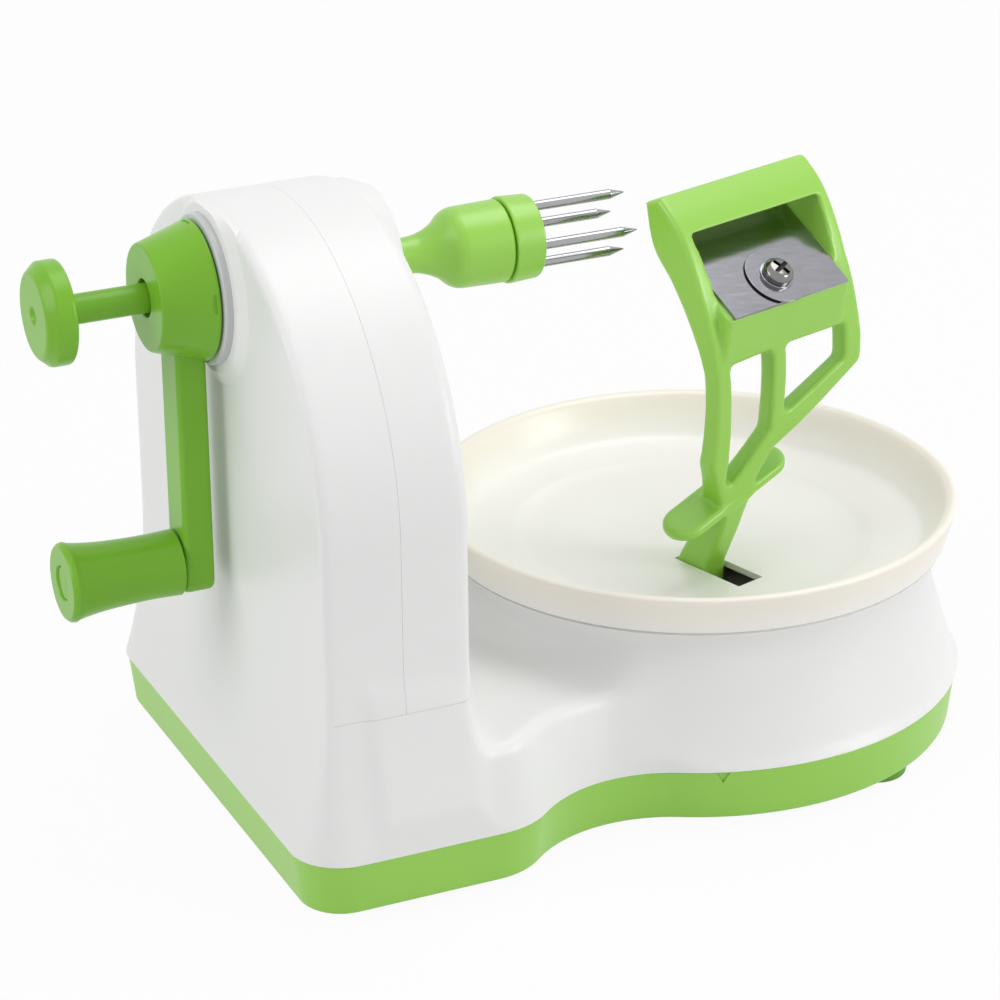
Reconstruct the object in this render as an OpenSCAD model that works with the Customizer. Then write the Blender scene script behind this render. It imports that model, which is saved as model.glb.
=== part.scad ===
// Rotary apple peeler: a crank turns a fork that holds the apple, and a gear train
// in the tower turns a dish that carries a sprung blade arm slowly round the fruit.
// X runs along the fork, from the crank to the dish, and Z is up. The part stands on its feet at z = 0.

/* [Base] */
// Height of the feet under the base tray
foot_h = 3; // [2:0.5:5]
// Radius of a foot
foot_r = 8; // [6:0.5:10]
// Height of the green base tray
base_h = 13.3; // [10:0.1:18]
// How far the tray draws in towards its lower edge
base_draft = 3; // [1:0.5:4]
// Distance from the turntable axis to the crank end of the base
end_x = 129.4; // [128:0.1:140]
// Half width of the base at the crank end
end_half_w = 67.5; // [66:0.1:75]
// Corner radius of the base at the crank end
end_corner = 12.5; // [8:0.5:16]
// Thickness of the tray's floor
tray_floor = 2.5; // [2:0.5:3]

/* [Body] */
// Wall of the moulded white shells
wall = 2.5; // [2:0.1:3]
// Radius of the round pedestal where it meets the base
pedestal_r = 66.9; // [65:0.1:72]
// Height of the pedestal above the base
pedestal_h = 33.7; // [33:0.1:38]
// Distance from the turntable axis to the tower's crank face
crank_face_x = 122.5; // [122:0.1:126]
// Distance from the turntable axis to the tower's dish face
dish_face_x = 87; // [84:0.1:88]
// Distance from the turntable axis to the parting line between body and tower cover
seam_x = 104; // [100:0.5:108]
// Radius of the tower's round top
arch_r = 61.5; // [60:0.1:64]
// How far the tower stands off the middle, towards the arm's rest place
tower_off = 1.4; // [0:0.1:2]
// Rounding of the tower's edges
edge_r = 3; // [2:0.5:6]
// Radius of the round boss behind the crank
boss_r = 19.6; // [19:0.1:21]
// How far that boss stands out of the tower
boss_h = 1.5; // [1:0.1:2]
// Radius of the boss round the fork at its foot
fork_boss_r = 20; // [18:0.5:21]
// How far the fork's boss stands out of the tower
fork_boss_h = 5; // [3:0.5:6]

/* [Dish] */
// Radius of the dish at its rim
dish_r = 65; // [64:0.1:66]
// How far the dish's flat floor ends inside the rim
floor_in = 10; // [9:0.1:12]
// How far the pedestal's neck lies inside the dish's rim
neck_in = 6.1; // [4:0.1:7]
// Depth of the dish from rim to floor
dish_depth = 11.3; // [10:0.1:14]
// Thickness of the dish
dish_t = 2.5; // [2:0.1:3]
// Length of the slot for the arm, along the radius
slot_l = 22.3; // [22:0.1:24]
// Width of that slot
slot_w = 8.1; // [8:0.1:9]
// Distance from the turntable axis to the slot's inner end
slot_start = 8; // [7.8:0.1:8.3]

/* [Spindle and crank] */
// Height of the spindle above the base
spindle_h = 116.5; // [115:0.1:118]
// How far the spindle lies above the centre of the round top
spindle_above_arch = 42.2; // [41:0.1:43]
// Radius of the fork's neck and shaft
shaft_r = 4.3; // [4:0.1:5]
// Radius of the crank's shank in the tower
shank_r = 8; // [7.5:0.1:8.5]
// Length of the crank's cone
cone_l = 13.1; // [12:0.1:15]
// Radius of the cone's wide end
cone_r = 16.4; // [15:0.1:17]
// Radius of the cone's narrow end
cone_end_r = 12.4; // [11:0.1:13]
// Distance from the spindle to the handle's axis
crank_r = 66; // [60:0.5:70]
// Width of the crank's arm
crank_w = 11.2; // [10:0.1:12]
// Thickness of the crank's arm
crank_t = 7.3; // [6:0.1:7.5]
// Length of the handle
handle_l = 27.5; // [26:0.5:34]
// Radius of the handle's flared end
handle_r = 9.4; // [8:0.1:10]

/* [Fork and ejector] */
// Radius of the fork's cup
cup_r = 9.8; // [9.5:0.1:11]
// Radius of one tine
tine_r = 1.2; // [1:0.05:1.3]
// Radius of the circle on which the tines stand
tine_circle = 7.1; // [6.8:0.1:7.2]
// Length of the tines in front of the ejector cap
tine_l = 24.4; // [22:0.1:28]
// Length of the ejector cap
cap_l = 7.4; // [6:0.1:9]
// Radius of the ejector's steel rod
rod_r = 1.5; // [1.2:0.05:1.8]
// Radius of the ejector knob's stem
stem_r = 3.45; // [3.2:0.05:3.5]
// Radius of the ejector knob
knob_r = 12; // [10:0.5:14]
// Travel of the ejector
eject_travel = 18; // [15:0.5:18]

/* [Gears] */
// Gear module
gear_m = 1.5; // [1.5:0.05:1.55]
// Width of the gears' faces
gear_w = 7; // [6:0.1:7]
// Play that each tooth loses in thickness
tooth_play = 0.25; // [0.2:0.05:0.4]
// Radius of the steel gear axles and of the lower shaft
axle_r = 3; // [2.5:0.1:3.2]
// Radius of the turntable's steel post
post_r = 4; // [3.5:0.1:4.2]
// Radial clearance of a shaft in its hole
run_fit = 0.05; // [0.02:0.01:0.08]
// Clearance between pieces that pass each other
pass_gap = 0.6; // [0.4:0.1:0.8]

/* [Peeler arm] */
// How far the arm is turned round the turntable axis at rest
arm_turn = 17; // [0:1:30]
// Width of the blade head
head_w = 48.4; // [47:0.1:50]
// Width of the blade
blade_w = 37.5; // [36:0.1:38]
// Length of the blade
blade_l = 28; // [26:0.1:29]
// Thickness of the blade
blade_t = 0.8; // [0.6:0.1:1]
// Slope of the blade
blade_slope = 33; // [32:0.5:34]
// Tangential width of the arm's stem
stem_w = 7; // [6:0.1:7.2]
// Radius of the arm's pivot pin
pivot_r = 2; // [1.6:0.1:2.2]
// Radius of the washer under the blade screw
washer_r = 8; // [7:0.1:9]
// Wire radius of the arm spring
wire_r = 0.5; // [0.4:0.05:0.55]

/* [Hidden] */
$fn = 64;

green = [0.52, 0.77, 0.26];
white = [0.93, 0.93, 0.92];
ivory = [0.94, 0.92, 0.87];
steel = [0.72, 0.73, 0.75];
natural = [0.86, 0.85, 0.8];

// Radii that follow the dish
dish_floor_r = dish_r - floor_in;
neck_r = dish_r - neck_in;

// Levels, from the feet up
base_top = foot_h + base_h;
tray_z = foot_h + tray_floor;
pedestal_top = base_top + pedestal_h;
seam_z = pedestal_top;
floor_z = pedestal_top - 1;
rim_z = floor_z + dish_depth;
spindle_z = base_top + spindle_h;
arch_z = spindle_z - spindle_above_arch;

// Places along the fork, measured from the turntable axis
bush_l = 1.9;
bush_r = 17.4;
hub_x = -crank_face_x - boss_h - bush_l;
cone_end_x = hub_x - cone_l;
knob_gap = eject_travel + 1;
knob_rim_x = cone_end_x - knob_gap;
knob_l = 7;
knob_end_x = knob_rim_x - knob_l;
cap_x = -51;
cap_front = cap_x + cap_l;
tine_tip = cap_front + tine_l;
// The origin lies under the middle of the part's length
table_x = -(knob_end_x + pedestal_r) / 2;

// Gear train: tooth counts, then centres worked out from the meshes
spindle_n = 16;
upper_n = 38;
upper_pinion_n = 16;
middle_n = 36;
middle_pinion_n = 14;
lower_n = 24;
lower_pinion_n = 12;
crown_n = 60;
addendum = 0.9 * gear_m;
dedendum = 1.2 * gear_m;
function pitch_r(n) = n * gear_m / 2;
function tip_r(n) = pitch_r(n) + addendum;
function root_r(n) = pitch_r(n) - dedendum;
shaft_z = tray_z + 1.45 + tip_r(lower_n);
middle_z = shaft_z + pitch_r(middle_pinion_n) + pitch_r(lower_n);
span_upper = pitch_r(spindle_n) + pitch_r(upper_n);
span_middle = pitch_r(upper_pinion_n) + pitch_r(middle_n);
// The upper gear stands where both of its meshes have their right distance
train_h = spindle_z - middle_z;
upper_drop = (span_upper * span_upper - span_middle * span_middle + train_h * train_h) / (2 * train_h);
upper_z = spindle_z - upper_drop;
upper_y = sqrt(max(0, span_upper * span_upper - upper_drop * upper_drop));
upper_dir = atan2(upper_z - spindle_z, upper_y);
middle_dir = atan2(middle_z - upper_z, -upper_y);
// Three gear planes across the tower, one for each mesh
plane_gap = 1;
plane_1 = -crank_face_x + wall + 4;
plane_2 = plane_1 + gear_w + plane_gap;
plane_3 = plane_2 + gear_w + plane_gap;
gear_end = -dish_face_x - wall - 1 - pass_gap;
crown_r = pitch_r(crown_n);
crown_z = shaft_z + pitch_r(lower_pinion_n);
crown_addendum = 1;
crown_w = 8;
web_z = crown_z + 1.15 * gear_m;
web_t = 3.5;
hub_r = 7.5;
lower_pinion_w = 5;

// Blade arm: outlines as [distance from the axis, height above the dish floor]
arm_t = -9.5;
arm_front = [[18.5, 0], [24.4, 14], [28.3, 29], [30.2, 44], [30, 57.7], [27.3, 73.2], [20, 88], [12.2, 95.2]];
arm_back = [[8.5, 0], [16.5, 14], [22.8, 29], [25.2, 44], [24.6, 57.7], [18.2, 73.2], [10.4, 82.5],
    [7.6, 93]];
bore_run = 20;
blade_screw_l = 8;
blade_head_r = 3.75;
blade_head_h = 2.8;
arm_depth = 60;
arm_half = 40;
blade_front = [32.5, 69.2];
chin_low = [30.2, 57.7];
chin_back = [24.6, 57.7];
screw_from_front = 7.2;
pivot_out = 11.5;
pivot_z = floor_z - 25;
pivot_hub_r = 5;
// Front view of the arm as [distance across, height above the dish floor], with its windows
stem_left = arm_t - stem_w / 2;
stem_right = arm_t + stem_w / 2;
head_half = head_w / 2;
head_inner = blade_w / 2 + 0.6;
arm_outline = [[stem_left, 0], [stem_left, 14], [-17, 22], [-21.3, 31.5], [-21.4, 46], [-21.7, 54], [-23, 64],
    [-head_half, 74], [-head_half, 96], [head_half, 96], [head_half, 74], [26, 62], [27, 54], [26.3, 48.5],
    [8.5, 35.6], [-1, 30.6], [-4.6, 24], [stem_right, 14], [stem_right, 0]];
left_window = [[-17, 56.5], [-3.2, 57], [-3.2, 38], [-15.2, 25]];
right_window = [[1.5, 57.5], [21, 57.5], [21, 48.6], [1.5, 39.2]];
window_low = 57.8;
window_high = 87.5;
// Finger tab: its middle, its rise across the arm and its lean
tab_l = 38;
tab_w = 11;
tab_t = 3;
tab_at = [21, 17];
tab_rise = 18;
tab_lean = 8;
spring_turns = 4;
spring_pitch = 2 * wire_r + 0.5;
spring_r = pivot_r + 1.2;
spring_l = spring_turns * spring_pitch + 2 * wire_r;
lug_t = 3;
lug_gap = 0.35;
lug_in = arm_t + stem_w / 2 + spring_l + 2 * lug_gap;
lug_out = arm_t - stem_w / 2 - lug_gap;

// Screws under the base and in the tower cover
end_screw_x = -end_x + 17.4;
screw_circle = pedestal_r - 8.2;
foot_circle = pedestal_r - 11;
base_screw_at = [for (s = [-1, 1]) each [[end_screw_x, s * (end_half_w - 8)],
    [screw_circle * cos(130), s * screw_circle * sin(130)],
    [screw_circle * cos(42), s * screw_circle * sin(42)]]];
cover_screw_at = [for (s = [-1, 1]) each [[s * (arch_r - 17) - tower_off, -25],
    [s * (arch_r - 29) - tower_off, 31]]];
cover_screw_l = 20;
cover_screw_seat = 4;
foot_at = [for (s = [-1, 1]) each [[foot_circle * cos(63), s * foot_circle * sin(63)],
    [end_screw_x, s * end_half_w / 2]]];
screw_r = 1.5;
screw_head_r = 2.8;
screw_head_h = 1.8;
screw_boss_r = 4;

// A smooth curve through a list of points
function blend4(a, b, c, d, u) = 0.5 * (2 * b + (c - a) * u + (2 * a - 5 * b + 4 * c - d) * u * u
    + (3 * b - a - 3 * c + d) * u * u * u);
function curve(p, n) = [for (i = [0 : len(p) - 2]) for (k = [0 : n - 1])
    blend4(p[max(i - 1, 0)], p[i], p[i + 1], p[min(i + 2, len(p) - 1)], k / n), p[len(p) - 1]];
function reversed(p) = [for (i = [len(p) - 1 : -1 : 0]) p[i]];

// Involute gear outline with its first tooth at angle 0
pressure = 20;
function roll(r, base) = r <= base ? 0 : tan(acos(base / r)) * 180 / PI - acos(base / r);
function half_tooth(n, r) = let(p = pitch_r(n), base = p * cos(pressure))
    90 / n + roll(p, base) - roll(r, base) - tooth_play / 2 / p * 180 / PI;
function polar(r, a) = [r * cos(a), r * sin(a)];
function gear_points(n) = let(
    radii = [root_r(n), pitch_r(n) - addendum / 2, pitch_r(n) + addendum / 3, tip_r(n)])
    [for (i = [0 : n - 1]) for (s = [-1, 1]) for (k = [0 : 3])
        let(r = radii[s < 0 ? k : 3 - k]) polar(r, i * 360 / n + s * half_tooth(n, r))];

module place() {
    translate([table_x, 0, 0]) children();
}

// Turns a drawing on the plane so that it is extruded along X, with its second axis up
module along_x(x, length) {
    translate([x, 0, 0]) rotate([90, 0, 90]) linear_extrude(length) children();
}

module rod_x(x, length, r, r_end = undef) {
    translate([x, 0, 0]) rotate([0, 90, 0]) cylinder(h = length, r1 = r, r2 = r_end == undef ? r : r_end);
}

module spur(n, x, width, turn) {
    along_x(x, width) rotate(turn) polygon(gear_points(n));
}

// A rounded rectangle from a to b along X
function end_box(a, b, half_w, r, n = 8) = [for (q = [[b, half_w, 0], [a, half_w, 90], [a, -half_w, 180],
    [b, -half_w, 270]]) for (k = [0 : n]) let(t = q[2] + k * 90 / n, ox = q[0] > a ? q[0] - r : q[0] + r,
    oy = q[1] > 0 ? q[1] - r : q[1] + r) [ox + r * cos(t), oy + r * sin(t)]];

// Closed solid through a stack of outlines that have the same number of points
module stack(rings) {
    n = len(rings[0]);
    m = len(rings);
    sides = [for (i = [0 : m - 2]) for (j = [0 : n - 1]) let(a = i * n + j, b = i * n + (j + 1) % n)
        each [[a, a + n, b + n], [a, b + n, b]]];
    polyhedron([for (r = rings) each r],
        concat([[for (j = [0 : n - 1]) j]], sides, [[for (j = [n - 1 : -1 : 0]) (m - 1) * n + j]]));
}

// Outline of the base where it meets the white body: crank end, waist and round pedestal
shoulder_x = 62;
shoulder_r = 20;
waist_r = 32;
module base_outline(inset = 0) {
    offset(delta = -inset) offset(r = -waist_r) offset(r = waist_r) {
        circle(pedestal_r, $fn = 72);
        polygon(end_box(-end_x, -shoulder_x - shoulder_r, end_half_w, end_corner));
        translate([-shoulder_x - shoulder_r - end_corner, 0])
            square([2 * end_corner, 2 * end_half_w], center = true);
        translate([-shoulder_x - shoulder_r, 0]) offset(r = shoulder_r, $fn = 40)
            square([0.1, 2 * (end_half_w - shoulder_r)], center = true);
    }
}

// A solid on the base's outline that draws in by low_in at the bottom and top_in at the top
module drafted(height, low_in, top_in, inset = 0) {
    mid = (pedestal_r - end_x) / 2;
    half_l = (pedestal_r + end_x) / 2;
    low = [1 - low_in / half_l, 1 - low_in / end_half_w];
    top = [1 - top_in / half_l, 1 - top_in / end_half_w];
    translate([mid, 0, 0]) linear_extrude(height, scale = [top[0] / low[0], top[1] / low[1]], slices = 1)
        scale(low) translate([-mid, 0]) base_outline(inset);
}

// Flared foot of the tower; it runs up inside the straight slab, which begins below the seam
flare_top = seam_z + 12;
slab_low = seam_z - 6;
foot_sink = 0.4;
function flare(z) = pow(max(0, (flare_top - z) / (flare_top - base_top)), 2.4);
function tower_ring(z, inset) = let(f = flare(z), sunk = inset + foot_sink * (1 - f)) [for (q = end_box(
    -crank_face_x - (end_x - crank_face_x) * f + sunk, -dish_face_x - inset - foot_sink,
    arch_r + (end_half_w - arch_r) * f - sunk, edge_r + (end_corner - edge_r) * f))
    [q[0], q[1] - tower_off * (1 - f), z]];
module tower_foot(inset, z0) {
    steps = 9;
    stack([for (i = [0 : steps]) tower_ring(z0 + (flare_top - z0) * i / steps, inset)]);
}

// Upper tower: a slab with a round top and rounded edges
module tower_slab(inset) {
    r = edge_r;
    length = crank_face_x - dish_face_x - 2 * inset;
    hull() for (a = [0, 30, 60, 90]) {
        cut = inset + r * (1 - sin(a));
        lay = length - 2 * r * (1 - cos(a));
        along_x(-crank_face_x + inset + r * (1 - cos(a)), lay) {
            translate([-tower_off, arch_z]) circle(arch_r - cut, $fn = 72);
            translate([-tower_off - arch_r + cut, slab_low]) square([2 * (arch_r - cut), 1]);
        }
    }
}

pedestal_line = curve([[pedestal_r, 0], [65.3 / 66.9 * pedestal_r, 2.7], [61.6 / 58.9 * neck_r, 14.7],
    [59.4 / 58.9 * neck_r, 22.7], [neck_r, 26.4], [60 / 58.9 * neck_r, 30],
    [62.2 / 58.9 * neck_r, pedestal_h]], 4);
module pedestal(inset) {
    translate([0, 0, base_top - inset]) rotate_extrude() polygon(concat([[0, 0]],
        [for (q = pedestal_line) [q[0] - inset, q[1] + inset * 1.2]], [[0, pedestal_h + 1.2 * inset]]));
}

// Recess in the pedestal's mouth for the underside of the dish
mouth_r = neck_r - 0.3;
mouth_z = pedestal_top - 3.2;

// Waist between tower and pedestal, with a hollow saddle on top
saddle_z = base_top + 20.5;
saddle_rise = 9;
waist_draft = 6;
waist_back = 22;
waist_in = 48;
module waist(inset) {
    saddle = curve([[-dish_face_x - waist_back, saddle_z + 2 * saddle_rise],
        [-dish_face_x, saddle_z + saddle_rise],
        [-dish_face_x + 3, saddle_z + 1.5], [-dish_face_x + 8, saddle_z], [-waist_in, saddle_z]], 4);
    intersection() {
        translate([0, 0, base_top - inset]) drafted(pedestal_h, 0, waist_draft, inset);
        translate([0, end_half_w, 0]) rotate([90, 0, 0]) linear_extrude(2 * end_half_w)
            polygon(concat([[-40, base_top - inset], [-dish_face_x - waist_back, base_top - inset]],
                [for (q = saddle) q - [0, inset]], [[-40, saddle_z - inset]]));
    }
}

module body_form(inset, z0) {
    tower_foot(inset, z0);
    tower_slab(inset);
    pedestal(inset);
    waist(inset);
}

// Block that the tower cover takes up, dish side of the parting line and above the seam
module cover_block(gap) {
    translate([-seam_x + gap, -end_half_w, seam_z + gap])
        cube([seam_x, 2 * end_half_w, arch_z + arch_r]);
}

// A screw with a pan head, its head's seat at z = 0 and its shank downwards
module screw(length, r = screw_r, head_r = screw_head_r, head_h = screw_head_h) {
    difference() {
        union() {
            translate([0, 0, -length]) cylinder(h = length, r = r);
            cylinder(h = head_h, r1 = head_r, r2 = head_r * 0.8);
        }
        for (a = [0, 90]) rotate(a) translate([-head_r * 0.6, -head_r * 0.12, head_h * 0.4])
            cube([head_r * 1.2, head_r * 0.24, head_h]);
    }
}

// Moulded tray that closes the body from below
module base_tray() {
    color(green) place() difference() {
        union() {
            difference() {
                translate([0, 0, foot_h]) drafted(base_h, base_draft, 0);
                translate([0, 0, tray_z]) linear_extrude(base_h) base_outline(base_draft + wall);
            }
            translate([0, 0, foot_h]) cylinder(h = tray_floor + 6, r = post_r + 4);
            for (q = base_screw_at) translate([q[0], q[1], foot_h])
                cylinder(h = base_h - wall, r = screw_boss_r);
        }
        translate([0, 0, tray_z - 1]) cylinder(h = base_h, r = post_r);
        for (q = base_screw_at) translate([q[0], q[1], 0]) {
            cylinder(h = base_top, r = screw_r + 0.2);
            cylinder(h = foot_h + screw_head_h, r = screw_head_r + 0.4);
        }
    }
}

module base_feet() {
    color(green) place() for (q = foot_at) translate([q[0], q[1], 0])
        cylinder(h = foot_h, r1 = foot_r - 0.5, r2 = foot_r);
}

module base_screws() {
    color(steel) place() for (q = base_screw_at) translate([q[0], q[1], foot_h + screw_head_h])
        mirror([0, 0, 1]) screw(base_h + 6);
}

// White body: pedestal, waist and the crank half of the tower in one moulding
module body_shell() {
    color(white) place() difference() {
        union() {
            difference() {
                body_form(0, base_top);
                difference() {
                    body_form(wall, base_top - wall);
                    for (q = base_screw_at) translate([q[0], q[1], 0])
                        cylinder(h = base_top + 24, r = screw_boss_r);
                    translate([0, upper_y, upper_z]) rod_x(-crank_face_x, wall + 3.5, axle_r + 2.5);
                    translate([0, 0, middle_z]) rod_x(-crank_face_x, wall + 3.5, axle_r + 2.5);
                    for (q = cover_screw_at) translate([0, q[0], arch_z + q[1]])
                        rod_x(-crank_face_x, crank_face_x - seam_x - 0.1, screw_boss_r);
                }
            }
            translate([0, 0, spindle_z]) rod_x(-crank_face_x - boss_h, boss_h + wall, boss_r);
        }
        cover_block(0);
        translate([0, 0, spindle_z]) rod_x(-end_x, 20, shank_r + 3);
        translate([0, upper_y, upper_z]) rod_x(-crank_face_x + 1, 20, axle_r);
        translate([0, 0, middle_z]) rod_x(-crank_face_x + 1, 20, axle_r);
        for (q = base_screw_at) translate([q[0], q[1], 0]) cylinder(h = base_h + foot_h + 10, r = screw_r);
        for (q = cover_screw_at) translate([0, q[0], arch_z + q[1]])
            rod_x(-dish_face_x - cover_screw_seat - cover_screw_l, cover_screw_l, screw_r);
        translate([0, 0, base_top]) cylinder(h = pedestal_h + 5, r = neck_r - wall);
        translate([0, 0, mouth_z]) cylinder(h = pedestal_h, r = mouth_r);
    }
}

// White half of the tower on the dish side
module tower_cover() {
    seat_x = -dish_face_x - wall;
    color(white) place() difference() {
        intersection() {
            union() {
                difference() {
                    tower_slab(0);
                    tower_slab(wall);
                }
                translate([0, 0, spindle_z]) {
                    rod_x(seat_x - 2, wall + 2, shaft_r + 5);
                    rod_x(-dish_face_x, fork_boss_h, fork_boss_r, fork_boss_r - fork_boss_h / 2);
                }
                translate([0, upper_y, upper_z]) rod_x(seat_x - 1, wall, axle_r + 2.5);
                translate([0, 0, middle_z]) rod_x(seat_x - 1, wall, axle_r + 2.5);
                for (q = cover_screw_at) translate([0, q[0], arch_z + q[1]])
                    rod_x(-seam_x, seam_x - dish_face_x - 1, screw_boss_r + 1);
            }
            cover_block(0);
        }
        translate([0, 0, spindle_z]) rod_x(seat_x - bore_run, 2 * bore_run, shaft_r + 2.5);
        translate([0, upper_y, upper_z]) rod_x(seat_x - bore_run, bore_run + wall - 1, axle_r);
        translate([0, 0, middle_z]) rod_x(seat_x - bore_run, bore_run + wall - 1, axle_r);
        for (q = cover_screw_at) translate([0, q[0], arch_z + q[1]]) {
            rod_x(-seam_x - 1, seam_x - dish_face_x, screw_r + 0.2);
            rod_x(-dish_face_x - cover_screw_seat, 2 * cover_screw_seat, screw_head_r + 0.4);
        }
    }
}

module cover_screws() {
    color(steel) place() for (q = cover_screw_at) translate([-dish_face_x - cover_screw_seat, q[0],
        arch_z + q[1]]) rotate([0, 90, 0]) screw(cover_screw_l);
}

// Grey ring and sleeve in which the crank's shank turns
module front_bush() {
    color(natural) place() translate([0, 0, spindle_z]) difference() {
        union() {
            rod_x(hub_x, bush_l, bush_r);
            rod_x(hub_x, bush_l + boss_h + wall + 2, shank_r + 3);
        }
        rod_x(hub_x - 1, 30, shank_r + run_fit);
    }
}

module rear_bush() {
    color(natural) place() translate([0, 0, spindle_z]) difference() {
        rod_x(-dish_face_x - wall - 2, wall + 2 + fork_boss_h, shaft_r + 2.5);
        rod_x(-dish_face_x - 20, 40, shaft_r + run_fit);
    }
}

// Crank: cone hub, shank into the tower and a straight arm down to the handle
shank_end = plane_2 + gear_w;
socket_l = 9;
arm_in = 5;
module crank() {
    arm_x = cone_end_x + arm_in;
    handle_z = spindle_z - crank_r;
    color(green) place() difference() {
        union() {
            translate([0, 0, spindle_z]) rod_x(cone_end_x, cone_l - 0.3, cone_end_r, cone_r);
            translate([0, 0, spindle_z]) rod_x(hub_x - 1, shank_end - hub_x + 1, shank_r);
            translate([arm_x, -crank_w / 2, handle_z]) cube([crank_t, crank_w, crank_r]);
            translate([0, 0, handle_z]) rod_x(arm_x, crank_t, crank_w / 2);
        }
        translate([0, 0, spindle_z]) {
            rod_x(cone_end_x - 1, 60, stem_r + run_fit);
            rod_x(cone_end_x - 1, 4, 4.3);
            rod_x(shank_end - socket_l, 20, shaft_r);
        }
        translate([0, 0, handle_z]) rod_x(arm_x - 1, 20, pivot_r);
    }
}

// Steel pin on which the handle turns
handle_end_x = cone_end_x + arm_in - pass_gap - handle_l;
module handle_pin() {
    color(steel) place() translate([0, 0, spindle_z - crank_r]) {
        rod_x(handle_end_x + 5, cone_end_x + arm_in + crank_t - handle_end_x - 5, pivot_r);
        rod_x(handle_end_x + 3, 2, pivot_r + 1.2);
    }
}

// Waisted grip that turns on the pin
module crank_handle() {
    line = curve([[7.4, handle_l], [7.2, handle_l * 0.7], [7.9, handle_l * 0.4], [9, handle_l * 0.12],
        [handle_r, 1.5], [handle_r - 0.7, 0]], 4);
    color(green) place() translate([handle_end_x, 0, spindle_z - crank_r]) difference() {
        rotate([0, 90, 0]) rotate_extrude() polygon(concat([[0, 0]], reversed(line), [[0, handle_l]]));
        rod_x(-1, handle_l + 2, pivot_r + run_fit);
        rod_x(-1, 6.2, 4);
    }
}

module handle_cap() {
    color(green) place() translate([handle_end_x, 0, spindle_z - crank_r]) rod_x(0.4, 2, 4);
}

// Fork: shaft through the tower, narrow neck and cup that holds the tines
module fork_holder() {
    start = shank_end - socket_l;
    line = curve([[shaft_r, -86], [shaft_r, -75], [shaft_r + 0.7, -71], [cup_r - 3.2, -67.6],
        [cup_r - 1.2, -65.2], [cup_r - 0.4, -63.4], [cup_r - 0.2, -61], [cup_r, cap_x - 0.3]], 4);
    color(green) place() translate([0, 0, spindle_z]) difference() {
        rotate([0, 90, 0]) rotate_extrude() polygon(concat([[0, start], [shaft_r, start]],
            line, [[0, cap_x - 0.3]]));
        rod_x(start - 1, 100, rod_r + run_fit);
        for (a = [0 : 90 : 270]) rotate([a, 0, 0])
            translate([0, 0, tine_circle]) rod_x(cap_x - 9, 20, tine_r);
    }
}

module fork_tines() {
    point_l = 3.8;
    color(steel) place() translate([0, 0, spindle_z]) for (a = [0 : 90 : 270]) rotate([a, 0, 0])
        translate([0, 0, tine_circle]) {
            rod_x(cap_x - 9, tine_tip - point_l - cap_x + 9, tine_r);
            rod_x(tine_tip - point_l, point_l, tine_r, 0.15);
        }
}

// Cap that slides along the tines and pushes the peeled apple off
module ejector_cap() {
    color(green) place() translate([0, 0, spindle_z]) difference() {
        rod_x(cap_x, cap_l, cup_r + 0.5, cup_r + 0.1);
        rod_x(cap_x - 1, 5, rod_r);
        for (a = [0 : 90 : 270]) rotate([a, 0, 0])
            translate([0, 0, tine_circle]) rod_x(cap_x - 1, cap_l + 2, tine_r + run_fit);
    }
}

stem_in = 9;
module ejector_rod() {
    color(steel) place() translate([0, 0, spindle_z])
        rod_x(cone_end_x + 2, cap_x + 4 - cone_end_x - 2, rod_r);
}

// Push knob with its stem, glued on the rod
module ejector_knob() {
    color(green) place() translate([0, 0, spindle_z]) difference() {
        union() {
            rod_x(knob_rim_x, knob_gap + stem_in, stem_r);
            rod_x(knob_rim_x - 4.5, 4.5, knob_r, knob_r);
            rod_x(knob_end_x, knob_l - 4.5, knob_r - 2.2, knob_r);
        }
        rod_x(knob_end_x - 1, 2, 2.2);
        rod_x(cone_end_x + 2, 20, rod_r);
    }
}

module spindle_pinion() {
    color(natural) place() translate([0, 0, spindle_z]) difference() {
        spur(spindle_n, plane_1, gear_w, upper_dir);
        rod_x(plane_1 - 1, gear_w + 2, shank_r);
    }
}

// Two-step gear: a large wheel and a pinion in one moulding
module step_gear(big_n, big_x, big_turn, small_n, small_x, small_turn) {
    difference() {
        union() {
            spur(big_n, big_x, gear_w, big_turn);
            spur(small_n, small_x, gear_w, small_turn);
            rod_x(big_x, small_x + gear_w - big_x, root_r(small_n));
            rod_x(big_x, gear_end - big_x, axle_r + 2.5);
        }
        rod_x(big_x - 1, 40, axle_r + run_fit);
    }
}

module upper_gear() {
    color(natural) place() translate([0, upper_y, upper_z])
        step_gear(upper_n, plane_1, upper_dir + 180 + 180 / upper_n, upper_pinion_n, plane_2, middle_dir);
}

module middle_gear() {
    color(natural) place() translate([0, 0, middle_z])
        step_gear(middle_n, plane_2, middle_dir + 180 + 180 / middle_n, middle_pinion_n, plane_3, -90);
}

module gear_axle() {
    rod_x(-crank_face_x + 1, crank_face_x - dish_face_x - 2, axle_r);
}

module upper_axle() {
    color(steel) place() translate([0, upper_y, upper_z]) gear_axle();
}

module middle_axle() {
    color(steel) place() translate([0, 0, middle_z]) gear_axle();
}

module lower_gear() {
    color(natural) place() translate([0, 0, shaft_z]) difference() {
        spur(lower_n, plane_3, gear_w, 90 + 180 / lower_n);
        rod_x(plane_3 - 1, gear_w + 2, axle_r);
    }
}

shaft_end = -crown_r + lower_pinion_w / 2 + 13;
module lower_shaft() {
    color(steel) place() translate([0, 0, shaft_z]) rod_x(plane_3, shaft_end - plane_3, axle_r);
}

module lower_pinion() {
    color(natural) place() translate([0, 0, shaft_z]) difference() {
        spur(lower_pinion_n, -crown_r - lower_pinion_w / 2, lower_pinion_w, 90);
        rod_x(-crown_r - 10, 20, axle_r);
    }
}

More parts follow.
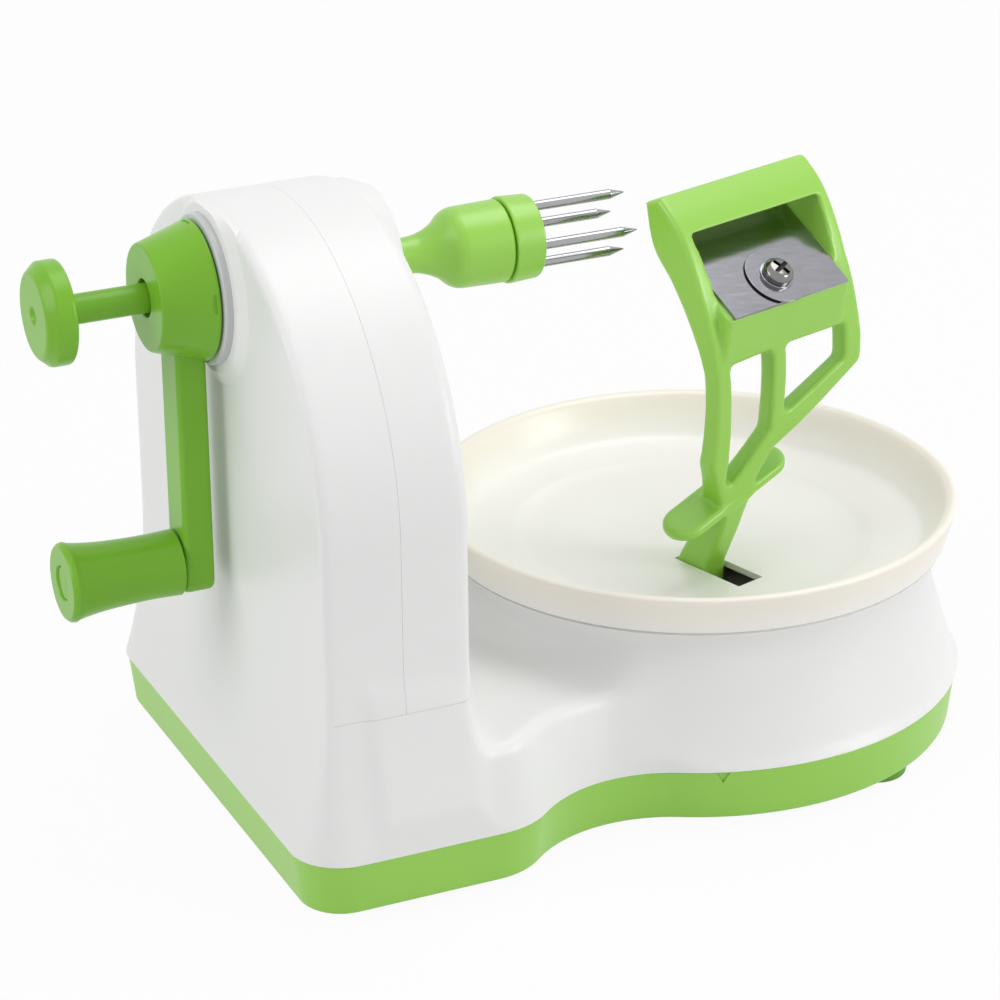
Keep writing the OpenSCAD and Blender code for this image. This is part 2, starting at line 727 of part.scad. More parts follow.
// Two posts that stand in the tray and carry the lower shaft
module shaft_bearings() {
    bearing_w = 12;
    bearing_l = 6;
    color(natural) place() for (x = [plane_3 + gear_w + pass_gap, shaft_end - bearing_l - 1]) difference() {
        union() {
            translate([x, -bearing_w / 2, tray_z]) cube([bearing_l, bearing_w, shaft_z - tray_z]);
            translate([0, 0, shaft_z]) rod_x(x, bearing_l, bearing_w / 2);
        }
        translate([0, 0, shaft_z]) rod_x(x - 1, bearing_l + 2, axle_r + run_fit);
    }
}

post_top = web_z + web_t + 1;
module turntable_post() {
    color(steel) place() difference() {
        translate([0, 0, tray_z - 1]) cylinder(h = post_top - tray_z + 1, r = post_r);
        translate([0, 0, post_top - 8]) cylinder(h = 10, r = screw_r);
    }
}

// Screw whose wide head keeps the turntable on its post
module turntable_screw() {
    color(steel) place() translate([0, 0, post_top]) screw(7, screw_r, post_r + 2, 2);
}

module arm_frame() {
    rotate([0, 0, arm_turn]) children();
}

// Draws on the plane of distance and height, then extrudes across the arm from t
module arm_side(t, width) {
    translate([t, 0, floor_z]) rotate([90, 0, 90]) linear_extrude(width) mirror([1, 0]) children();
}

// Crown wheel with its hub, and the two lugs that carry the arm's pin
module turntable_gear() {
    under = floor_z - dish_t;
    seat_gap = 2 * tan(pressure);
    tooth = PI * gear_m / 2 - tooth_play;
    color(natural) place() difference() {
        union() {
            translate([0, 0, web_z]) cylinder(h = web_t, r = crown_r + crown_w / 2);
            translate([0, 0, tray_z + 6.5]) cylinder(h = under - tray_z - 6.5, r = hub_r);
            difference() {
                translate([0, 0, web_z]) cylinder(h = under - web_z, r = crown_r + crown_w / 2);
                translate([0, 0, web_z]) cylinder(h = under, r = crown_r + crown_w / 2 - wall);
            }
            for (i = [0 : crown_n - 1]) rotate([0, 0, (i + 0.5) * 360 / crown_n])
                translate([crown_r - crown_w / 2, 0, 0]) rotate([90, 0, 90]) linear_extrude(crown_w)
                    polygon([[-tooth / 2 - (web_z - crown_z) * seat_gap / 2, web_z + 0.1],
                        [-tooth / 2 + crown_addendum * seat_gap / 2, crown_z - crown_addendum],
                        [tooth / 2 - crown_addendum * seat_gap / 2, crown_z - crown_addendum],
                        [tooth / 2 + (web_z - crown_z) * seat_gap / 2, web_z + 0.1]]);
            arm_frame() for (t = [lug_in, lug_out - lug_t]) {
                translate([t, -pivot_out - 4, pivot_z]) cube([lug_t, 8, web_z - pivot_z + 1]);
                translate([0, -pivot_out, pivot_z]) rod_x(t, lug_t, 4);
            }
        }
        translate([0, 0, -1]) cylinder(h = rim_z, r = post_r + run_fit);
        translate([0, 0, post_top - 0.3]) cylinder(h = rim_z, r = post_r + 2.5);
        arm_frame() {
            translate([lug_out, -slot_start - slot_l, web_z - 1])
                cube([stem_w + 2 * lug_gap, slot_l + 4, web_t + 2]);
            translate([0, -pivot_out, pivot_z])
                rod_x(lug_out - 2 * lug_t, lug_in - lug_out + 4 * lug_t, pivot_r);
        }
    }
}

// Round dish that catches juice and peel; it sits on the crown wheel
module dish() {
    under = floor_z - dish_t;
    seat = pedestal_top + pass_gap;
    inside = curve([[dish_floor_r - 12, floor_z], [dish_floor_r, floor_z + 0.4],
        [dish_floor_r + 3.6, floor_z + 3.4], [dish_r - 3.2, rim_z - 1.6], [dish_r - 2.2, rim_z - 0.4],
        [dish_r - 1.2, rim_z]], 4);
    outside = curve([[dish_r - 0.6, rim_z - 0.1], [dish_r, rim_z - 0.8], [dish_r - 0.6, rim_z - 3],
        [dish_r - 2.5, seat]], 3);
    color(ivory) place() difference() {
        rotate_extrude() polygon(concat([[0, floor_z]], inside, outside, [[mouth_r + pass_gap, seat],
            [mouth_r - pass_gap, seat - pass_gap], [dish_floor_r + 1, mouth_z + pass_gap],
            [dish_floor_r - 2, under], [0, under]]));
        arm_frame() translate([arm_t - slot_w / 2, -slot_start - slot_l, under - 1])
            cube([slot_w, slot_l, dish_t + 2]);
    }
}

module arm_pin() {
    color(steel) place() arm_frame() translate([0, -pivot_out, pivot_z])
        rod_x(lug_out - lug_t, lug_in - lug_out + 2 * lug_t, pivot_r);
}

// Round wire along a list of points
module wire(path, r, sides = 6) {
    n = len(path);
    rings = [for (i = [0 : n - 1]) let(d = path[min(i + 1, n - 1)] - path[max(i - 1, 0)], w = d / norm(d),
        u = cross(w, abs(w[0]) < 0.8 ? [1, 0, 0] : [0, 0, 1]), a = u / norm(u), b = cross(w, a))
        [for (k = [0 : sides - 1]) path[i] + r * (a * cos(-k * 360 / sides) + b * sin(-k * 360 / sides))]];
    stack(rings);
}

// Torsion spring on the pin that swings the arm towards the fruit
module arm_spring() {
    start_t = arm_t + stem_w / 2 + lug_gap + wire_r;
    steps = 16;
    turns = [for (i = [0 : spring_turns * steps]) let(a = 90 - i * 360 / steps)
        [start_t + i * spring_pitch / steps, spring_r * sin(a), spring_r * cos(a)]];
    path = concat([turns[0] - [0, 0, 5]], turns, [turns[len(turns) - 1] + [0, 0, 9]]);
    gap = min([for (i = [0 : len(turns) - 1]) for (j = [i + steps / 2 : len(turns) - 1])
        norm(turns[i] - turns[j])]) - 2 * wire_r;
    echo(arm_spring_gap = gap);
    color(steel) place() arm_frame() translate([0, -pivot_out, pivot_z]) wire(path, wire_r);
}

// Blade plane: origin at the middle of the blade's front edge, Y up the slope
module on_blade() {
    translate([0, -blade_front[0], floor_z + blade_front[1]]) rotate([blade_slope, 0, 0]) children();
}

// Green arm: stem, finger tab, open frame and blade head in one moulding
module peeler_arm() {
    color(green) place() arm_frame() difference() {
        union() {
            intersection() {
                translate([0, 0, floor_z]) rotate([90, 0, 0]) linear_extrude(arm_depth) difference() {
                    polygon(arm_outline);
                    polygon(left_window);
                    polygon(right_window);
                    translate([-head_inner, window_low]) square([2 * head_inner, window_high - window_low]);
                }
                arm_side(-arm_half, 2 * arm_half) 
                    polygon(concat(curve(arm_front, 4), reversed(curve(arm_back, 4))));
            }
            arm_side(-head_inner - 0.5, 2 * head_inner + 1) polygon([blade_front, chin_low, chin_back,
                [21.6, 68], blade_front + [-14, 14 * tan(blade_slope)]]);
            arm_side(stem_left, stem_w) polygon([[8.5, 0], [8.5, 0.5], [18.7, 0.5], [18.5, 0],
                [pivot_out + 4.6, pivot_z - floor_z + 2], [pivot_out - 4.6, pivot_z - floor_z + 2]]);
            translate([0, -pivot_out, pivot_z]) rod_x(stem_left, stem_w, pivot_hub_r);
            translate([arm_t, -tab_at[0], floor_z + tab_at[1]]) rotate([tab_lean, -tab_rise, 0])
                linear_extrude(tab_t) {
                    square([tab_l - tab_w, tab_w], center = true);
                    for (s = [-1, 1]) translate([s * (tab_l - tab_w) / 2, 0]) circle(tab_w / 2);
                }
        }
        translate([0, -pivot_out, pivot_z]) rod_x(stem_left - 1, stem_w + 2, pivot_r + run_fit);
        on_blade() translate([-head_inner, 0, 0]) cube([2 * head_inner, blade_l + 3, 6]);
        on_blade() translate([0, screw_from_front, -9]) cylinder(h = 12, r = screw_r);
    }
}

module blade() {
    bevel = 2;
    color(steel) place() arm_frame() on_blade() difference() {
        translate([-blade_w / 2, 0, 0]) rotate([90, 0, 90]) linear_extrude(blade_w)
            polygon([[0, 0], [blade_l, 0], [blade_l - bevel, blade_t], [0, blade_t]]);
        translate([0, screw_from_front, -1]) cylinder(h = 4, r = screw_r + 0.5);
    }
}

module blade_washer() {
    color(steel) place() arm_frame() on_blade() translate([0, screw_from_front, blade_t]) difference() {
        cylinder(h = 1, r = washer_r);
        translate([0, 0, -1]) cylinder(h = 4, r = screw_r + 0.5);
    }
}

module blade_screw() {
    color(steel) place() arm_frame() on_blade() translate([0, screw_from_front, blade_t + 1])
        screw(blade_screw_l, screw_r, blade_head_r, blade_head_h);
}

base_tray();
base_feet();
base_screws();
body_shell();
tower_cover();
cover_screws();
front_bush();
rear_bush();
crank();
handle_pin();
crank_handle();
handle_cap();
fork_holder();
fork_tines();
ejector_cap();
ejector_rod();
ejector_knob();
spindle_pinion();
upper_gear();
upper_axle();
middle_gear();
middle_axle();
lower_gear();
lower_shaft();
lower_pinion();
shaft_bearings();
turntable_post();
turntable_screw();
turntable_gear();
dish();
arm_pin();
arm_spring();
peeler_arm();
blade();
blade_washer();
blade_screw();
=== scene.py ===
# Looks of a hand-cranked apple peeler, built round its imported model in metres.
# Lengths in the sections are in millimetres: x from the turntable's axis, z up from the worktop.
import math

import bmesh
import bpy
import numpy as np
from mathutils import Matrix, Vector


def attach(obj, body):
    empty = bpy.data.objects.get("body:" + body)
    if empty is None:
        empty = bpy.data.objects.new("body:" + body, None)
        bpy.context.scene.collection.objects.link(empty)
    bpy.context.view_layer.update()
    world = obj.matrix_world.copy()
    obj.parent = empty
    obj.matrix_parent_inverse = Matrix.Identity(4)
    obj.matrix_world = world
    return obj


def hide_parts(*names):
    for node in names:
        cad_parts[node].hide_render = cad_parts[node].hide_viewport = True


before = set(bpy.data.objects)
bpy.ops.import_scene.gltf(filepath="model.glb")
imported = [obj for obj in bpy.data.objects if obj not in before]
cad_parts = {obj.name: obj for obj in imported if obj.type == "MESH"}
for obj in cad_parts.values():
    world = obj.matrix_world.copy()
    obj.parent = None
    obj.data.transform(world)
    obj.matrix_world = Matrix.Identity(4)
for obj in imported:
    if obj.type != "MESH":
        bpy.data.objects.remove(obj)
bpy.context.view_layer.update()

# Setting: a white sweep, three soft boxes and an even white surround, as in a catalogue picture.
# The camera stands in front of the crank's side, a little above the dish.
scene = bpy.context.scene
scene.view_settings.view_transform = "Standard"


def seen_rays(nodes, links):
    """One where the ray comes from the camera, a reflection or clear material, else nought."""
    path = nodes.new("ShaderNodeLightPath")
    first = nodes.new("ShaderNodeMath")
    first.operation = "MAXIMUM"
    links.new(path.outputs["Is Camera Ray"], first.inputs[0])
    links.new(path.outputs["Is Glossy Ray"], first.inputs[1])
    both = nodes.new("ShaderNodeMath")
    both.operation = "MAXIMUM"
    links.new(first.outputs[0], both.inputs[0])
    links.new(path.outputs["Is Transmission Ray"], both.inputs[1])
    return both.outputs[0]


surround_light = 0.51
world = bpy.data.worlds.new("white_surround")
scene.world = world
world.use_nodes = True
nodes, links = world.node_tree.nodes, world.node_tree.links
nodes.clear()
dim_sky = nodes.new("ShaderNodeBackground")
dim_sky.inputs["Color"].default_value = (1, 1, 1, 1)
dim_sky.inputs["Strength"].default_value = surround_light
white_sky = nodes.new("ShaderNodeBackground")
white_sky.inputs["Color"].default_value = (1, 1, 1, 1)
white_sky.inputs["Strength"].default_value = 1.0
sky = nodes.new("ShaderNodeMixShader")
sky_out = nodes.new("ShaderNodeOutputWorld")
links.new(seen_rays(nodes, links), sky.inputs[0])
links.new(dim_sky.outputs[0], sky.inputs[1])
links.new(white_sky.outputs[0], sky.inputs[2])
links.new(sky.outputs[0], sky_out.inputs["Surface"])

floor_reach = 3.0
floor_mesh = bpy.data.meshes.new("floor")
floor_mesh.from_pydata(
    [(-floor_reach, -floor_reach, 0), (floor_reach, -floor_reach, 0),
     (floor_reach, floor_reach, 0), (-floor_reach, floor_reach, 0)], [], [(0, 1, 2, 3)])
floor = bpy.data.objects.new("floor", floor_mesh)
scene.collection.objects.link(floor)
paper_tone, paper_rough, paper_glow = 0.72, 0.8, 0.95
paper = bpy.data.materials.new("white_paper")
paper.use_nodes = True
nodes, links = paper.node_tree.nodes, paper.node_tree.links
nodes["Principled BSDF"].inputs["Base Color"].default_value = (paper_tone, paper_tone, paper_tone, 1)
nodes["Principled BSDF"].inputs["Roughness"].default_value = paper_rough
glow = nodes.new("ShaderNodeEmission")
glow.inputs["Strength"].default_value = 1.0
paper_share = nodes.new("ShaderNodeMath")
paper_share.operation = "MULTIPLY"
paper_share.inputs[1].default_value = paper_glow
paper_mix = nodes.new("ShaderNodeMixShader")
links.new(seen_rays(nodes, links), paper_share.inputs[0])
links.new(paper_share.outputs[0], paper_mix.inputs[0])
links.new(nodes["Principled BSDF"].outputs[0], paper_mix.inputs[1])
links.new(glow.outputs[0], paper_mix.inputs[2])
links.new(paper_mix.outputs[0], nodes["Material Output"].inputs["Surface"])
floor_mesh.materials.append(paper)

look_at = Vector((0.0, 0.0, 0.07))
soft_boxes = [
    ("top_box", (0.45, 0.1, 1.3), 0.85, 6.2),
    ("left_box", (-1.2, -0.1, 0.75), 0.8, 5.6),
    ("right_box", (1.05, -0.95, 0.5), 0.5, 6.2)]
for name, place, size, power in soft_boxes:
    lamp = bpy.data.lights.new(name, "AREA")
    lamp.shape = "SQUARE"
    lamp.size = size
    lamp.energy = power
    box = bpy.data.objects.new(name, lamp)
    box.location = place
    box.rotation_euler = (look_at - Vector(place)).to_track_quat("-Z", "Y").to_euler()
    scene.collection.objects.link(box)

camera_at = (-0.33852, -0.74601, 0.42753)
view_yaw = math.radians(-24.23)
view_pitch = math.radians(23.80)
view_roll = math.radians(-0.53)
right = Vector((math.cos(view_yaw), math.sin(view_yaw), 0))
back = Vector((math.sin(view_yaw) * math.cos(view_pitch),
               -math.cos(view_yaw) * math.cos(view_pitch),
               math.sin(view_pitch)))
up = back.cross(right)
rolled_right = right * math.cos(view_roll) + up * math.sin(view_roll)
rolled_up = up * math.cos(view_roll) - right * math.sin(view_roll)
lens = bpy.data.cameras.new("camera")
lens.lens = 133.96
lens.sensor_width = 36
lens.clip_end = 20
camera = bpy.data.objects.new("camera", lens)
facing = Matrix((rolled_right, rolled_up, back)).transposed().to_4x4()
camera.matrix_world = Matrix.Translation(camera_at) @ facing
scene.collection.objects.link(camera)
scene.camera = camera

# Base tray: one green injection moulding that closes the housing from below.
# Its sides draw in towards the worktop, and the housing's edge stands a little proud of them.
table_x = 49.05


def made(name, shape, finish, sharp=35):
    """A mesh object from millimetre points, with smooth shading but for sharp edges."""
    points, faces = shape
    mesh = bpy.data.meshes.new(name)
    mesh.from_pydata([((p[0] + table_x) / 1000, p[1] / 1000, p[2] / 1000) for p in points], [], faces)
    work = bmesh.new()
    work.from_mesh(mesh)
    bmesh.ops.recalc_face_normals(work, faces=work.faces)
    work.to_mesh(mesh)
    work.free()
    mesh.shade_smooth()
    mesh.set_sharp_from_angle(angle=math.radians(sharp))
    mesh.materials.append(finish)
    piece = bpy.data.objects.new(name, mesh)
    scene.collection.objects.link(piece)
    return piece


def applied(piece, modifier):
    """Bakes a modifier into the piece's mesh."""
    shape = piece.evaluated_get(bpy.context.evaluated_depsgraph_get())
    old = piece.data
    piece.data = bpy.data.meshes.new_from_object(shape)
    piece.modifiers.remove(modifier)
    bpy.data.meshes.remove(old)


def cut(piece, shape, sharp=35):
    """Takes a closed shape out of the piece."""
    tool = made("cutter", shape, piece.data.materials[0])
    modifier = piece.modifiers.new("cut", "BOOLEAN")
    modifier.operation = "DIFFERENCE"
    modifier.solver = "EXACT"
    modifier.object = tool
    bpy.context.view_layer.update()
    applied(piece, modifier)
    piece.data.set_sharp_from_angle(angle=math.radians(sharp))
    bpy.data.objects.remove(tool)


def even_normals(piece):
    """Flat faces keep flat shading beside their rounded edges."""
    modifier = piece.modifiers.new("even_normals", "WEIGHTED_NORMAL")
    modifier.keep_sharp = True


def fitted(piece, body, slot, *nodes):
    """The piece rides on a body and stands for its nodes."""
    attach(piece, body)
    if nodes:
        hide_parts(*nodes)


def moulded(name, colour, rough, shift, grain, shine=0.5):
    """Moulded plastic: faint drift of colour, uneven gloss and a fine moulded grain."""
    finish = bpy.data.materials.new(name)
    finish.use_nodes = True
    nodes, links = finish.node_tree.nodes, finish.node_tree.links
    shader = nodes["Principled BSDF"]
    shader.inputs["IOR"].default_value = 1.49
    shader.inputs["Specular IOR Level"].default_value = shine
    place = nodes.new("ShaderNodeTexCoord")
    drift = nodes.new("ShaderNodeTexNoise")
    drift.inputs["Scale"].default_value = 28
    drift.inputs["Detail"].default_value = 2
    tint = nodes.new("ShaderNodeValToRGB")
    tint.color_ramp.elements[0].position = 0.3
    tint.color_ramp.elements[1].position = 0.7
    tint.color_ramp.elements[0].color = tuple(c * (1 - shift) for c in colour) + (1,)
    tint.color_ramp.elements[1].color = tuple(min(1, c * (1 + shift)) for c in colour) + (1,)
    gloss = nodes.new("ShaderNodeMapRange")
    gloss.inputs["To Min"].default_value = rough - 0.04
    gloss.inputs["To Max"].default_value = rough + 0.04
    pits = nodes.new("ShaderNodeTexNoise")
    pits.inputs["Scale"].default_value = 1400
    pits.inputs["Detail"].default_value = 3
    bump = nodes.new("ShaderNodeBump")
    bump.inputs["Strength"].default_value = grain
    bump.inputs["Distance"].default_value = 0.00005
    links.new(place.outputs["Object"], drift.inputs["Vector"])
    links.new(place.outputs["Object"], pits.inputs["Vector"])
    links.new(drift.outputs["Fac"], tint.inputs["Fac"])
    links.new(drift.outputs["Fac"], gloss.inputs["Value"])
    links.new(tint.outputs["Color"], shader.inputs["Base Color"])
    links.new(gloss.outputs["Result"], shader.inputs["Roughness"])
    links.new(pits.outputs["Fac"], bump.inputs["Height"])
    links.new(bump.outputs["Normal"], shader.inputs["Normal"])
    return finish


green = moulded("green_moulding", (0.3, 0.635, 0.06), 0.36, 0.03, 0.12, 0.85)
end_x, end_half, end_corner = 129.4, 67.5, 12.5
pedestal_r = 66.9
shoulder = (-82.0, 47.5)
shoulder_r, waist_r = 20.0, 32.0
tray_low, tray_top = 3.0, 16.3
tray_in, tray_draw = 0.55, 2.1
tray_wall, tray_floor, tray_ledge = 2.5, 2.5, 6.0


def meeting(a, ra, b, rb):
    """The upper point that lies ra from a and rb from b."""
    dx, dy = b[0] - a[0], b[1] - a[1]
    span = math.hypot(dx, dy)
    along = (ra * ra - rb * rb + span * span) / (2 * span)
    off = math.sqrt(ra * ra - along * along)
    sides = [(a[0] + (along * dx + s * off * dy) / span, a[1] + (along * dy - s * off * dx) / span)
             for s in (1, -1)]
    return max(sides, key=lambda p: p[1])


waist_centre = meeting((0, 0), pedestal_r + waist_r, shoulder, shoulder_r + waist_r)


def arc(centre, radius, start, end, step=2.5):
    """Points and outward directions along an arc, angles in degrees."""
    count = max(2, int(abs(end - start) / step))
    turns = [math.radians(start + (end - start) * i / count) for i in range(count + 1)]
    return [(centre[0] + radius * math.cos(t), centre[1] + radius * math.sin(t), math.cos(t), math.sin(t))
            for t in turns]


def base_outline():
    """Half of the base's outline, then its mirror: points with their outward directions."""
    lean = math.degrees(math.atan2(waist_centre[1], waist_centre[0]))
    turn = math.degrees(math.atan2(shoulder[1] - waist_centre[1], shoulder[0] - waist_centre[0])) % 360
    half = arc((0, 0), pedestal_r, 0, lean)
    half += [(x, y, -nx, -ny) for x, y, nx, ny in arc(waist_centre, waist_r, lean + 180, turn)][1:]
    half += arc(shoulder, shoulder_r, turn - 180, 90)[1:]
    half += arc((end_corner - end_x, end_half - end_corner), end_corner, 90, 180, 9)
    return half + [(x, -y, nx, -ny) for x, y, nx, ny in reversed(half)][:-1]


def stacked(count, rings):
    """Faces over rings of count points each, closed at both ends."""
    faces = []
    for k in range(rings - 1):
        for i in range(count):
            j = (i + 1) % count
            faces.append((k * count + i, k * count + j, (k + 1) * count + j, (k + 1) * count + i))
    faces.append(tuple(range(count))[::-1])
    faces.append(tuple((rings - 1) * count + i for i in range(count)))
    return faces


def walls(outline, line):
    """Rings of the outline, each drawn in and lifted as the line says, closed at both ends."""
    points = []
    for inset, z in line:
        points.extend((x - inset * nx, y - inset * ny, z) for x, y, nx, ny in outline)
    return points, stacked(len(outline), len(line))


def filleted(corners, steps=5):
    """A line through corners given as (a, b, radius), each corner rounded by its radius."""
    line = []
    for i, (a, b, radius) in enumerate(corners):
        here = Vector((a, b))
        if radius <= 0 or i in (0, len(corners) - 1):
            line.append((a, b))
            continue
        before = (Vector(corners[i - 1][:2]) - here).normalized()
        after = (Vector(corners[i + 1][:2]) - here).normalized()
        half = before.angle(after) / 2
        middle = here + (before + after).normalized() * radius / math.sin(half)
        start = here + before * radius / math.tan(half) - middle
        end = here + after * radius / math.tan(half) - middle
        sweep = start.angle_signed(end)
        for k in range(steps + 1):
            t = -sweep * k / steps
            line.append((middle.x + start.x * math.cos(t) - start.y * math.sin(t),
                         middle.y + start.x * math.sin(t) + start.y * math.cos(t)))
    return line


outline = base_outline()
tray_line = filleted([
    (tray_draw + tray_ledge, tray_low, 0), (tray_draw, tray_low, 1.2), (tray_in, tray_top, 0.35),
    (tray_draw + tray_wall, tray_top, 0), (tray_draw + tray_wall, tray_low + tray_floor, 0)])
tray = made("tray", walls(outline, tray_line), green)


def turned(line, along="z", centre=(0, 0, 0), sides=96):
    """A lathe shape from (radius, place) points, about an upright or lengthwise axis."""
    points, faces, rings = [], [], []
    for radius, place in line:
        if radius < 1e-6:
            rings.append([len(points)])
            ring = [(0, 0, place)]
        else:
            rings.append(list(range(len(points), len(points) + sides)))
            turns = [2 * math.pi * i / sides for i in range(sides)]
            ring = [(radius * math.cos(t), radius * math.sin(t), place) for t in turns]
        points.extend(ring)
    for low, high in zip(rings, rings[1:]):
        for i in range(sides):
            j = (i + 1) % sides
            corners = [low[i % len(low)], low[j % len(low)], high[j % len(high)], high[i % len(high)]]
            faces.append(tuple(dict.fromkeys(corners)))
    if len(rings[0]) > 1 and len(rings[-1]) > 1:
        for i in range(sides):
            j = (i + 1) % sides
            faces.append((rings[-1][i], rings[-1][j], rings[0][j], rings[0][i]))
    if along == "x":
        points = [(p[2], p[0], p[1]) for p in points]
    return [(p[0] + centre[0], p[1] + centre[1], p[2] + centre[2]) for p in points], faces


screw_head_r, recess_top = 3.2, 4.8
base_screws = [(x, s * y) for x, y in ((-112, 59.5), (-37.73, 44.97), (43.62, 39.28)) for s in (1, -1)]
recess = [(0, 0), (screw_head_r, 0), (screw_head_r, recess_top), (0, recess_top)]
for x, y in base_screws:
    cut(tray, turned(recess, "z", (x, y, 0), 32))

mark = [(-1.6, 15.9), (1.6, 15.9), (0, 13.1)]
mark_turn = math.radians(-110.2)
mark_depth, mark_reach = 0.45, 70.0
c, s = math.cos(mark_turn), math.sin(mark_turn)
mark_r = pedestal_r - tray_in - mark_depth
side_draw = (tray_draw - tray_in) / (tray_top - tray_low)
mark_ends = [(mark_r - side_draw * (tray_top - z), a, z) for a, z in mark]
mark_ends += [(mark_reach, a, z) for a, z in mark]
points = [(d * c - a * s, d * s + a * c, z) for d, a, z in mark_ends]
cut(tray, (points, [(0, 1, 2), (5, 4, 3), (0, 3, 4, 1), (1, 4, 5, 2), (2, 5, 3, 0)]))
even_normals(tray)
fitted(tray, "root", "green_plastic", "base_tray")

# Feet: four soft round pads pressed into the tray's floor.
# Each has a slightly rounded tread and draws in towards the worktop.
pad = moulded("soft_pad", (0.15, 0.38, 0.03), 0.62, 0.04, 0.3)
foot_line = filleted([(0, 0.0, 0), (7.4, 0.0, 0.8), (8.0, tray_low, 0), (0, tray_low, 0)])
feet_at = [(25.38, 49.81), (25.38, -49.81), (-112, 33.75), (-112, -33.75)]


def joined(*parts):
    """Several lists of points and faces as one."""
    points, faces = [], []
    for part_points, part_faces in parts:
        start = len(points)
        points.extend(tuple(p) for p in part_points)
        faces.extend(tuple(start + i for i in f) for f in part_faces)
    return points, faces


feet = made("feet", joined(*[turned(foot_line, "z", (x, y, 0), 48) for x, y in feet_at]), pad)
even_normals(feet)
fitted(feet, "root", "green_rubber", "base_feet")

# Housing: white moulding with the round pedestal, the waist and the crank half of the tower.
# The tower's dish half is a second moulding that meets it at a fine upright and level seam.
white = moulded("white_moulding", (0.86, 0.86, 0.855), 0.4, 0.008, 0.06)

crank_face, dish_face = -122.5, -87.0
arch_r, arch_z, tower_off = 61.5, 90.6, 1.4
base_top, pedestal_top = tray_top, 50.0
flare_top, flare_power = 62.0, 2.4
spindle_z = 132.8
shell = 2.5


def smooth_line(points, n=8):
    """A smooth curve through points."""
    p = [np.array(q, float) for q in points]
    line = []
    for i in range(len(p) - 1):
        a, b, c, d = p[max(i - 1, 0)], p[i], p[i + 1], p[min(i + 2, len(p) - 1)]
        for k in range(n):
            u = k / n
            line.append(0.5 * (2 * b + (c - a) * u + (2 * a - 5 * b + 4 * c - d) * u * u
                               + (3 * b - a - 3 * c + d) * u ** 3))
    return np.array(line + [p[-1]])


def soft_union(a, b, k):
    """Both forms as one, with the corner between them filled softly over k."""
    h = np.maximum(k - np.abs(a - b), 0) / k
    return np.minimum(a, b) - h * h * k / 4


def rounded_both(a, b, r):
    """Inside of both forms, with the edge where they meet rounded by r."""
    return (np.minimum(np.maximum(a + r, b + r), 0)
            + np.hypot(np.maximum(a + r, 0), np.maximum(b + r, 0)) - r)


def eased(x, low, high):
    """Nought up to low, one from high, and a smooth rise between."""
    share = np.clip((x - low) / (high - low), 0, 1)
    return share * share * (3 - 2 * share)


def base_distance(x, y):
    """Distance of points from the base's outline, negative inside."""
    y = np.abs(y)
    round_end = np.hypot(x, y) - pedestal_r
    corner = np.where(x < (shoulder[0] - end_x) / 2, end_corner, shoulder_r)
    middle = (shoulder[0] + shoulder_r - end_x) / 2
    reach = (shoulder[0] + shoulder_r + end_x) / 2
    qx = np.abs(x - middle) - reach + corner
    qy = y - end_half + corner
    block = np.minimum(np.maximum(qx, qy), 0) + np.hypot(np.maximum(qx, 0), np.maximum(qy, 0)) - corner
    both = np.minimum(round_end, block)
    cx, cy = waist_centre
    to_round = x * -cy + y * cx > 0
    side = (x - cx) * (shoulder[1] - cy) - (y - cy) * (shoulder[0] - cx) < 0
    hollow = waist_r - np.hypot(x - cx, y - cy)
    return np.where(to_round & side & (y < cy), hollow, both)


def skin(field, low, cell):
    """Quads over the surface where a field of distances on a grid crosses nought."""
    inside = field < 0
    sizes = np.array(field.shape) - 1
    mixed = np.zeros(sizes, bool)
    corners = [(i, j, k) for i in (0, 1) for j in (0, 1) for k in (0, 1)]

    def window(array, c):
        return array[c[0]:c[0] + sizes[0], c[1]:c[1] + sizes[1], c[2]:c[2] + sizes[2]]

    first = window(inside, (0, 0, 0))
    for c in corners[1:]:
        mixed |= window(inside, c) != first
    cells = np.argwhere(mixed)
    number = np.full(sizes, -1)
    number[mixed] = np.arange(len(cells))
    values = {c: field[cells[:, 0] + c[0], cells[:, 1] + c[1], cells[:, 2] + c[2]] for c in corners}
    total = np.zeros((len(cells), 3))
    crossings = np.zeros(len(cells))
    for a in corners:
        for axis in range(3):
            if a[axis]:
                continue
            b = tuple(1 if i == axis else a[i] for i in range(3))
            va, vb = values[a], values[b]
            crossed = (va < 0) != (vb < 0)
            share = np.where(crossed, va / np.where(crossed, va - vb, 1), 0)
            spot = np.array(a, float) + share[:, None] * (np.array(b) - np.array(a))
            total += np.where(crossed[:, None], spot, 0)
            crossings += crossed
    points = (cells + total / crossings[:, None]) * cell + np.array(low)
    quads = []
    for axis in range(3):
        b, c = (axis + 1) % 3, (axis + 2) % 3
        turned_grid = np.moveaxis(inside, (axis, b, c), (0, 1, 2))
        turned_number = np.moveaxis(number, (axis, b, c), (0, 1, 2))
        crossing = np.argwhere(turned_grid[:-1, 1:-1, 1:-1] != turned_grid[1:, 1:-1, 1:-1])
        i, j, k = crossing[:, 0], crossing[:, 1] + 1, crossing[:, 2] + 1
        ring = np.stack([turned_number[i, j - 1, k - 1], turned_number[i, j, k - 1],
                         turned_number[i, j, k], turned_number[i, j - 1, k]], 1)
        start_inside = turned_grid[i, j, k]
        ring[~start_inside] = ring[~start_inside][:, ::-1]
        quads.append(ring)
    return points, np.concatenate(quads)


